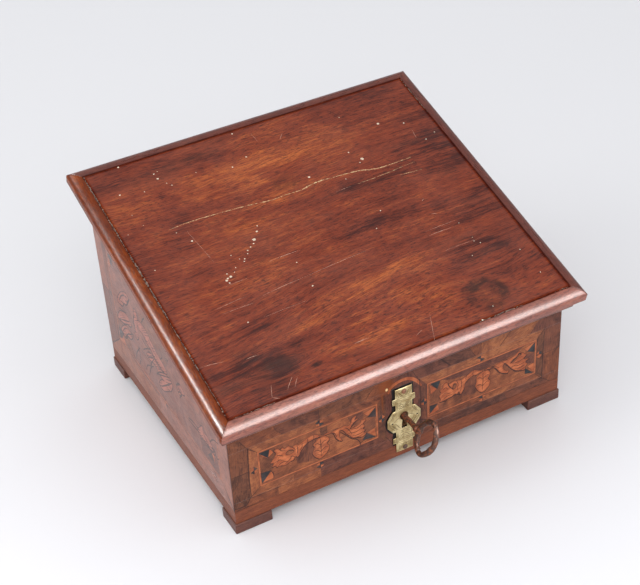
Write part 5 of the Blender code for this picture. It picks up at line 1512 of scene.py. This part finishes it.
# Engraved lines of the right half, mirrored on the left: x, height and half width
PLATE_ENGRAVING = (
    ((7.4, 101.6, 0.1), (4.0, 97.2, 0.3), (0.2, 92.6, 0.1)),
    ((7.6, 102.0, 0.1), (5.0, 102.2, 0.25), (3.2, 101.8, 0.1)),
    ((6.4, 100.4, 0.1), (4.6, 99.6, 0.25), (3.6, 100.6, 0.1)),
    ((5.4, 97.4, 0.1), (4.2, 94.8, 0.25), (2.6, 93.6, 0.1)),
    ((7.6, 98.6, 0.1), (7.0, 95.6, 0.3), (5.4, 93.4, 0.1)),
    ((3.0, 96.6, 0.1), (1.6, 95.8, 0.2), (0.2, 96.4, 0.1)),
    ((0.3, 86.8, 0.1), (2.4, 87.6, 0.3), (5.6, 86.6, 0.1)),
    ((0.3, 77.0, 0.1), (1.6, 82.2, 0.35), (5.4, 85.8, 0.15)),
    ((1.0, 77.6, 0.1), (3.4, 81.2, 0.35), (7.2, 83.0, 0.15)),
    ((1.8, 76.6, 0.1), (4.6, 79.2, 0.35), (7.6, 79.8, 0.15)),
    ((3.8, 84.0, 0.1), (5.6, 82.6, 0.25), (6.2, 84.4, 0.1)),
    ((3.6, 80.8, 0.1), (5.4, 78.0, 0.25), (7.8, 77.6, 0.1)),
    ((7.8, 87.4, 0.1), (7.9, 82.0, 0.2), (7.8, 77.6, 0.1)),
    ((9.6, 90.6, 0.1), (9.8, 88.2, 0.3), (9.6, 86.6, 0.1)),
    ((9.6, 75.6, 0.15), (12.4, 70.8, 0.3), (16.0, 66.6, 0.15)),
    ((12.4, 75.0, 0.1), (13.6, 71.6, 0.3), (17.2, 66.4, 0.15)),
    ((17.8, 66.4, 0.15), (17.9, 62.0, 0.25), (17.0, 57.8, 0.15)),
    ((16.8, 57.4, 0.15), (13.0, 53.0, 0.3), (11.0, 50.4, 0.1)),
    ((15.0, 59.6, 0.15), (11.8, 55.0, 0.35), (8.8, 50.8, 0.15)),
    ((13.6, 58.8, 0.1), (10.0, 54.2, 0.3), (6.6, 49.4, 0.1)),
    ((12.8, 62.6, 0.1), (8.6, 65.4, 0.35), (5.6, 66.6, 0.15)),
    ((11.8, 61.6, 0.1), (8.0, 56.2, 0.35), (4.6, 51.6, 0.15)),
    ((0.2, 48.6, 0.1), (2.6, 47.6, 0.3), (5.8, 48.2, 0.1)),
    ((0.2, 44.6, 0.1), (2.6, 46.0, 0.35), (6.2, 44.6, 0.15)),
    ((0.3, 43.4, 0.1), (3.6, 41.4, 0.35), (7.4, 36.6, 0.15)),
    ((0.2, 40.6, 0.1), (2.4, 38.6, 0.35), (6.0, 36.4, 0.15)),
    ((0.2, 38.4, 0.1), (1.6, 36.8, 0.25), (3.4, 36.2, 0.1)),
    ((4.6, 43.4, 0.1), (6.4, 41.8, 0.25), (7.8, 42.4, 0.1)),
    ((7.8, 46.6, 0.1), (8.0, 42.0, 0.2), (7.8, 37.4, 0.1)),
    ((9.8, 38.4, 0.1), (9.9, 36.0, 0.3), (9.8, 33.8, 0.1)),
    ((6.8, 30.4, 0.1), (7.0, 26.0, 0.3), (6.6, 22.8, 0.1)),
    ((1.0, 29.8, 0.1), (3.0, 29.2, 0.3), (5.4, 30.2, 0.1)),
    ((5.6, 28.4, 0.1), (5.0, 25.6, 0.3), (6.0, 23.4, 0.1)),
    ((0.2, 31.0, 0.1), (1.6, 28.4, 0.25), (3.6, 27.6, 0.1)),
)
# Grooves across the plate: height
PLATE_RULES = (91.7, 89.3, 35.0, 32.4)
PLATE_PINHOLES = ((-14.3, 61.4), (15.7, 62.1))


def plate_edge(z):
    """Half width of the lock plate at height z."""
    heights, widths = np.transpose(PLATE_EDGE)
    return np.interp(z, heights, widths)


def keyhole_edge(z):
    """Half width of the keyhole at height z: a circle over a slot that widens downwards."""
    middle, radius, depth, top_half, foot_half = KEYHOLE
    circle = np.sqrt(np.clip(radius ** 2 - (z - middle) ** 2, 0, None))
    foot = middle - depth
    slot = np.where((z >= foot) & (z < middle), np.interp(z, (foot, middle), (foot_half, top_half)), 0.0)
    return np.maximum(circle, slot)


def plate_relief(x, z):
    """Depth of the plate's engraving below its face, and how dark each point is, in millimetres."""
    heights, widths = np.transpose(PLATE_EDGE)
    outline = np.concatenate((np.stack((widths, heights), -1), np.stack((-widths, heights), -1)[::-1]))
    edge = -polygon_distance(x, z, outline)
    lines = nearest(stroke_distance(np.abs(x), z, stroke) for stroke in PLATE_ENGRAVING)
    rules = nearest(np.abs(z - at) - 0.22 for at in PLATE_RULES)
    frame_line = np.where(np.abs(z - 62.5) < 16, 4.0, np.abs(edge - 1.5) - 0.12)
    groove = nearest((lines, rules, frame_line))
    pits = nearest(np.hypot(x - px, z - pz) - 1.15 for px, pz in PLATE_PINHOLES)
    middle, radius, depth, top_half, foot_half = KEYHOLE
    rim = np.hypot(x, z - middle) - radius
    facet = 0.30 * np.clip(1 - np.abs(np.hypot(np.abs(x) - 9.5, (z - 60.5) * 0.8) - 3.6) / 2.6, 0, 1)
    cut = 0.34 * np.exp(-np.clip(groove + 0.15, 0, None) ** 2 / 0.16) + 0.9 * (pits < 0) + facet * 0.5
    bevel = 0.55 * np.exp(-(np.clip(edge, 0, None) / 0.45) ** 2)
    bevel = bevel + 0.35 * np.exp(-(np.clip(rim, 0, None) / 0.5) ** 2)
    hammered = 0.05 * soft_noise(x * 1.3 + z, 2.6, 91) + 0.05 * soft_noise(z * 1.2 - x, 3.1, 92)
    return cut + bevel + hammered + 0.05, groove, pits


def lock_plate_piece(material):
    """Plate in two halves of rows from the keyhole to the edge, pressed in by its engraving."""
    foot, top = PLATE_EDGE[0][0], PLATE_EDGE[-1][0]
    hole_foot = KEYHOLE[0] - KEYHOLE[2]
    extra = [height for height, width in PLATE_EDGE] + [hole_foot - 0.01, hole_foot + 0.01]
    z = np.unique(np.concatenate((np.linspace(foot, top, 291), extra)))[:, None]
    u = np.linspace(0, 1, 56)[None, :]
    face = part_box("escutcheon")[0].y
    parts, fields = [], []
    for side in (-1, 1):
        x = side * (keyhole_edge(z) + (plate_edge(z) - keyhole_edge(z)) * u)
        spread = np.broadcast_to(z, x.shape)
        depth, groove, pits = plate_relief(x, spread)
        points = np.stack((x * MM, face + depth * MM, spread * MM), -1)
        faces = grid_faces(*x.shape)
        parts.append((points, faces if side > 0 else faces[:, ::-1]))
        fields.append((groove.ravel(), pits.ravel()))
    joined = {"groove": np.concatenate([f[0] for f in fields]),
              "pits": np.concatenate([f[1] for f in fields])}
    piece = add_piece("engraved_lock_plate", *join_arrays(parts), material, "box", joined)
    work = bmesh.new()
    work.from_mesh(piece.data)
    bmesh.ops.remove_doubles(work, verts=work.verts, dist=1e-7)
    work.to_mesh(piece.data)
    work.free()
    give_thickness(piece, 0.0007)
    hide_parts("escutcheon")


def tube(path, radii, flat, phase, close):
    """Round bar along a path: a ring of points at each step, square to the path and a little uneven."""
    path = np.asarray(path, float)
    if close:
        step = np.roll(path, -1, axis=0) - np.roll(path, 1, axis=0)
    else:
        step = np.gradient(path, axis=0)
    step /= np.linalg.norm(step, axis=1)[:, None]
    side = np.cross(step, flat)
    side /= np.linalg.norm(side, axis=1)[:, None]
    up = np.cross(side, step)
    turn = np.linspace(0, 2 * math.pi, 24, endpoint=False)
    uneven = 1 - 0.05 * (1 + np.sin(4 * turn[None, :] + phase * np.arange(len(path))[:, None]))
    ring = radii[:, None] * uneven
    points = path[:, None, :] + side[:, None, :] * (ring * np.cos(turn))[..., None]
    points = points + up[:, None, :] * (ring * np.sin(turn))[..., None]
    return points, grid_faces(len(path), 24, close_rows=close, close_columns=True)


def key_piece(material):
    """Forged key: tapered shaft, knuckle, uneven oval bow and the bit inside the lock."""
    low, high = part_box("key")
    height = KEYHOLE[0]
    front, back = low.y / MM, high.y / MM
    bow_y, bow_half_y, bow_half_z = front + 17.0, 17.0, 21.5
    lean = math.radians(28)
    t = np.linspace(0, 2 * math.pi, 120, endpoint=False)
    wire = 3.2 + 0.30 * np.sin(2 * t + 0.6) + 0.2 * np.sin(5 * t + 2) + 0.14 * np.sin(11 * t + 1)
    pinch = 1 - 0.26 * np.maximum(0, -np.sin(t)) ** 2
    away_y, away_z = (bow_half_y - wire) * np.cos(t) * pinch, (bow_half_z - wire) * np.sin(t)
    bow = np.stack((away_z * math.sin(lean), bow_y + away_y, height + away_z * math.cos(lean)), -1)
    bow_part = tube(bow, wire * 0.99, np.array((math.cos(lean), 0.0, -math.sin(lean))), 0.25, True)
    y = np.concatenate((np.linspace(front + 31.6, front + 61, 60), np.linspace(front + 62, back - 0.1, 20)))
    shaft_radii = np.interp(y, (front + 32, front + 34, front + 37, front + 39, front + 44, front + 61, back),
                            (2.6, 4.3, 4.4, 3.0, 2.75, 3.3, 3.3))
    shaft_radii = shaft_radii * (1 + 0.03 * soft_noise(y, 2.2, 15))
    shaft = np.stack((0.12 * soft_noise(y, 12.0, 17), y, height + 0.12 * soft_noise(y, 12.0, 18)), -1)
    shaft_radii = np.minimum(shaft_radii, 3.4 + (y < front + 40) * 1.2)
    shaft_part = tube(shaft, shaft_radii, np.array((0.0, 0.0, 1.0)), 0.12, False)
    corner = np.array([(sx, sy, sz) for sx in (-1.2, 1.2) for sy in (back - 10, back - 2) for sz in (-11, 0)])
    corner = corner + np.array((0, 0, height))
    box_faces = np.array(((0, 1, 3, 2), (4, 6, 7, 5), (0, 4, 5, 1), (2, 3, 7, 6), (0, 2, 6, 4), (1, 5, 7, 3)))
    points, faces = join_arrays((bow_part, shaft_part, (corner, box_faces)))
    polish = np.clip((front + 34 - points[:, 1]) / 6, 0, 1)
    piece = add_piece("forged_key", points * MM, faces, material, "box", {"polish": polish})
    close_openings(piece)
    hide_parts("key")


def brass_material():
    """Old brass: pale khaki with olive clouds, dark in the engraving, and near black in the pin holes as painted
    shade.
    """
    material, tree, shader = new_material("old_brass", 0.42, metallic=0.35, specular=0.4)
    place = object_place(tree)
    cloud = noise(tree, place, 90.0, detail=5.0)
    colour = mix_colour(tree, ramp(tree, cloud, 0.38, 0.64), rgb(158, 136, 90), rgb(216, 198, 150))
    speckle = ramp(tree, noise(tree, place, 420.0, detail=3.0), 0.56, 0.72, 0.0, 0.35)
    colour = mix_colour(tree, speckle, colour, rgb(118, 96, 60))
    dirt = math_node(tree, "MULTIPLY", ramp(tree, attribute(tree, "groove"), 0.22, -0.12), 0.72)
    colour = mix_colour(tree, dirt, colour, rgb(86, 66, 36))
    # Painted shade: the pin holes are filled near black.
    colour = mix_colour(tree, ramp(tree, attribute(tree, "pits"), 0.15, -0.15), colour, rgb(16, 12, 9))
    tree.links.new(colour, shader.inputs["Base Color"])
    tree.links.new(ramp(tree, cloud, 0.3, 0.7, 0.50, 0.36), shader.inputs["Roughness"])
    add_bump(tree, shader, noise(tree, place, 700.0, detail=3.0), 0.0001)
    return material


def key_material():
    """Key: orange rust on the shaft, darker worn metal with rust on the bow."""
    material, tree, shader = new_material("forged_key_iron", 0.5, metallic=0.4, specular=0.4)
    place = object_place(tree)
    cloud = noise(tree, place, 170.0, detail=6.0, roughness=0.65)
    polish = attribute(tree, "polish")
    bare = math_node(tree, "MULTIPLY", ramp(tree, cloud, 0.44, 0.56), polish)
    fine = ramp(tree, noise(tree, place, 380.0, detail=4.0), 0.38, 0.62)
    rust = mix_colour(tree, fine, rgb(70, 38, 26), rgb(140, 76, 44))
    tree.links.new(mix_colour(tree, bare, rust, rgb(92, 70, 62)), shader.inputs["Base Color"])
    tree.links.new(ramp(tree, bare, 0.2, 0.8, 0.62, 0.36), shader.inputs["Roughness"])
    tree.links.new(ramp(tree, bare, 0.2, 0.8, 0.05, 0.70), shader.inputs["Metallic"])
    add_bump(tree, shader, noise(tree, place, 600.0, detail=4.0), 0.0004, 0.8)
    return material


def iron_material(name="rusty_iron", rust=rgb(122, 66, 42), bare=rgb(74, 62, 58)):
    """Iron with brown rust over dark metal."""
    material, tree, shader = new_material(name, 0.6, metallic=0.4, specular=0.4)
    place = object_place(tree)
    cloud = noise(tree, place, 140.0, detail=6.0, roughness=0.65)
    mask = ramp(tree, cloud, 0.42, 0.58)
    tree.links.new(mix_colour(tree, mask, bare, rust), shader.inputs["Base Color"])
    tree.links.new(ramp(tree, cloud, 0.4, 0.6, 0.40, 0.75), shader.inputs["Roughness"])
    tree.links.new(ramp(tree, cloud, 0.4, 0.6, 0.75, 0.15), shader.inputs["Metallic"])
    add_bump(tree, shader, noise(tree, place, 700.0, detail=4.0), 0.0003, 0.7)
    return material


class WRITINGBOX_OT_metalwork(bpy.types.Operator):
    """Finishes of the lock plate, nails, lock, hinges and key"""
    bl_idname = "writing_box.metalwork"
    bl_label = "Metalwork"

    def execute(self, context):
        nodes = frame["nodes"]
        iron = iron_material()
        rusty = iron_material("rusty_nail", rgb(142, 92, 66), rgb(112, 84, 66))
        dark = iron_material("dark_nail", rgb(92, 66, 52), rgb(86, 76, 70))
        lock_plate_piece(brass_material())
        key_piece(key_material())
        finishes = {"lock_case": iron, "lid_staple": iron, "escutcheon_nail_upper": rusty,
                    "escutcheon_nail_lower": dark}
        for name, obj in nodes.items():
            metal = iron if name.startswith("hinge_") else finishes.get(name)
            if metal:
                for slot in obj.material_slots:
                    slot.material = metal
        return {"FINISHED"}


class WRITINGBOX_PT_sidebar(bpy.types.Panel):
    """Sizes of the box and a button for each group of pieces"""
    bl_idname = "WRITINGBOX_PT_sidebar"
    bl_label = "Writing Box"
    bl_space_type = "VIEW_3D"
    bl_region_type = "UI"
    bl_category = "Writing Box"

    def draw(self, context):
        layout = self.layout
        scene = context.scene
        for group in (scene.writing_box_stage, scene.writing_box_lid, scene.writing_box_colours):
            box = layout.box()
            for key in group.__annotations__:
                box.prop(group, key)
        for operator in OPERATORS:
            layout.operator(operator.bl_idname)


OPERATORS = (
    WRITINGBOX_OT_stage, WRITINGBOX_OT_lid_board, WRITINGBOX_OT_lid_mouldings, WRITINGBOX_OT_lid_marks,
    WRITINGBOX_OT_cornice, WRITINGBOX_OT_carcase, WRITINGBOX_OT_front_marquetry, WRITINGBOX_OT_side_marquetry,
    WRITINGBOX_OT_metalwork,
)
CLASSES = (StageSizes, LidSizes, WoodColours, *OPERATORS, WRITINGBOX_PT_sidebar)


def register():
    """Register the classes and the settings they use."""
    for cls in CLASSES:
        bpy.utils.register_class(cls)
    bpy.types.Scene.writing_box_stage = bpy.props.PointerProperty(type=StageSizes)
    bpy.types.Scene.writing_box_lid = bpy.props.PointerProperty(type=LidSizes)
    bpy.types.Scene.writing_box_colours = bpy.props.PointerProperty(type=WoodColours)


def unregister():
    """Remove the settings and the classes."""
    del bpy.types.Scene.writing_box_colours
    del bpy.types.Scene.writing_box_lid
    del bpy.types.Scene.writing_box_stage
    for cls in reversed(CLASSES):
        bpy.utils.unregister_class(cls)


def main():
    """Dress the whole box."""
    register()
    for operator in OPERATORS:
        group, name = operator.bl_idname.split(".")
        getattr(getattr(bpy.ops, group), name)()


if __name__ == "__main__":
    main()
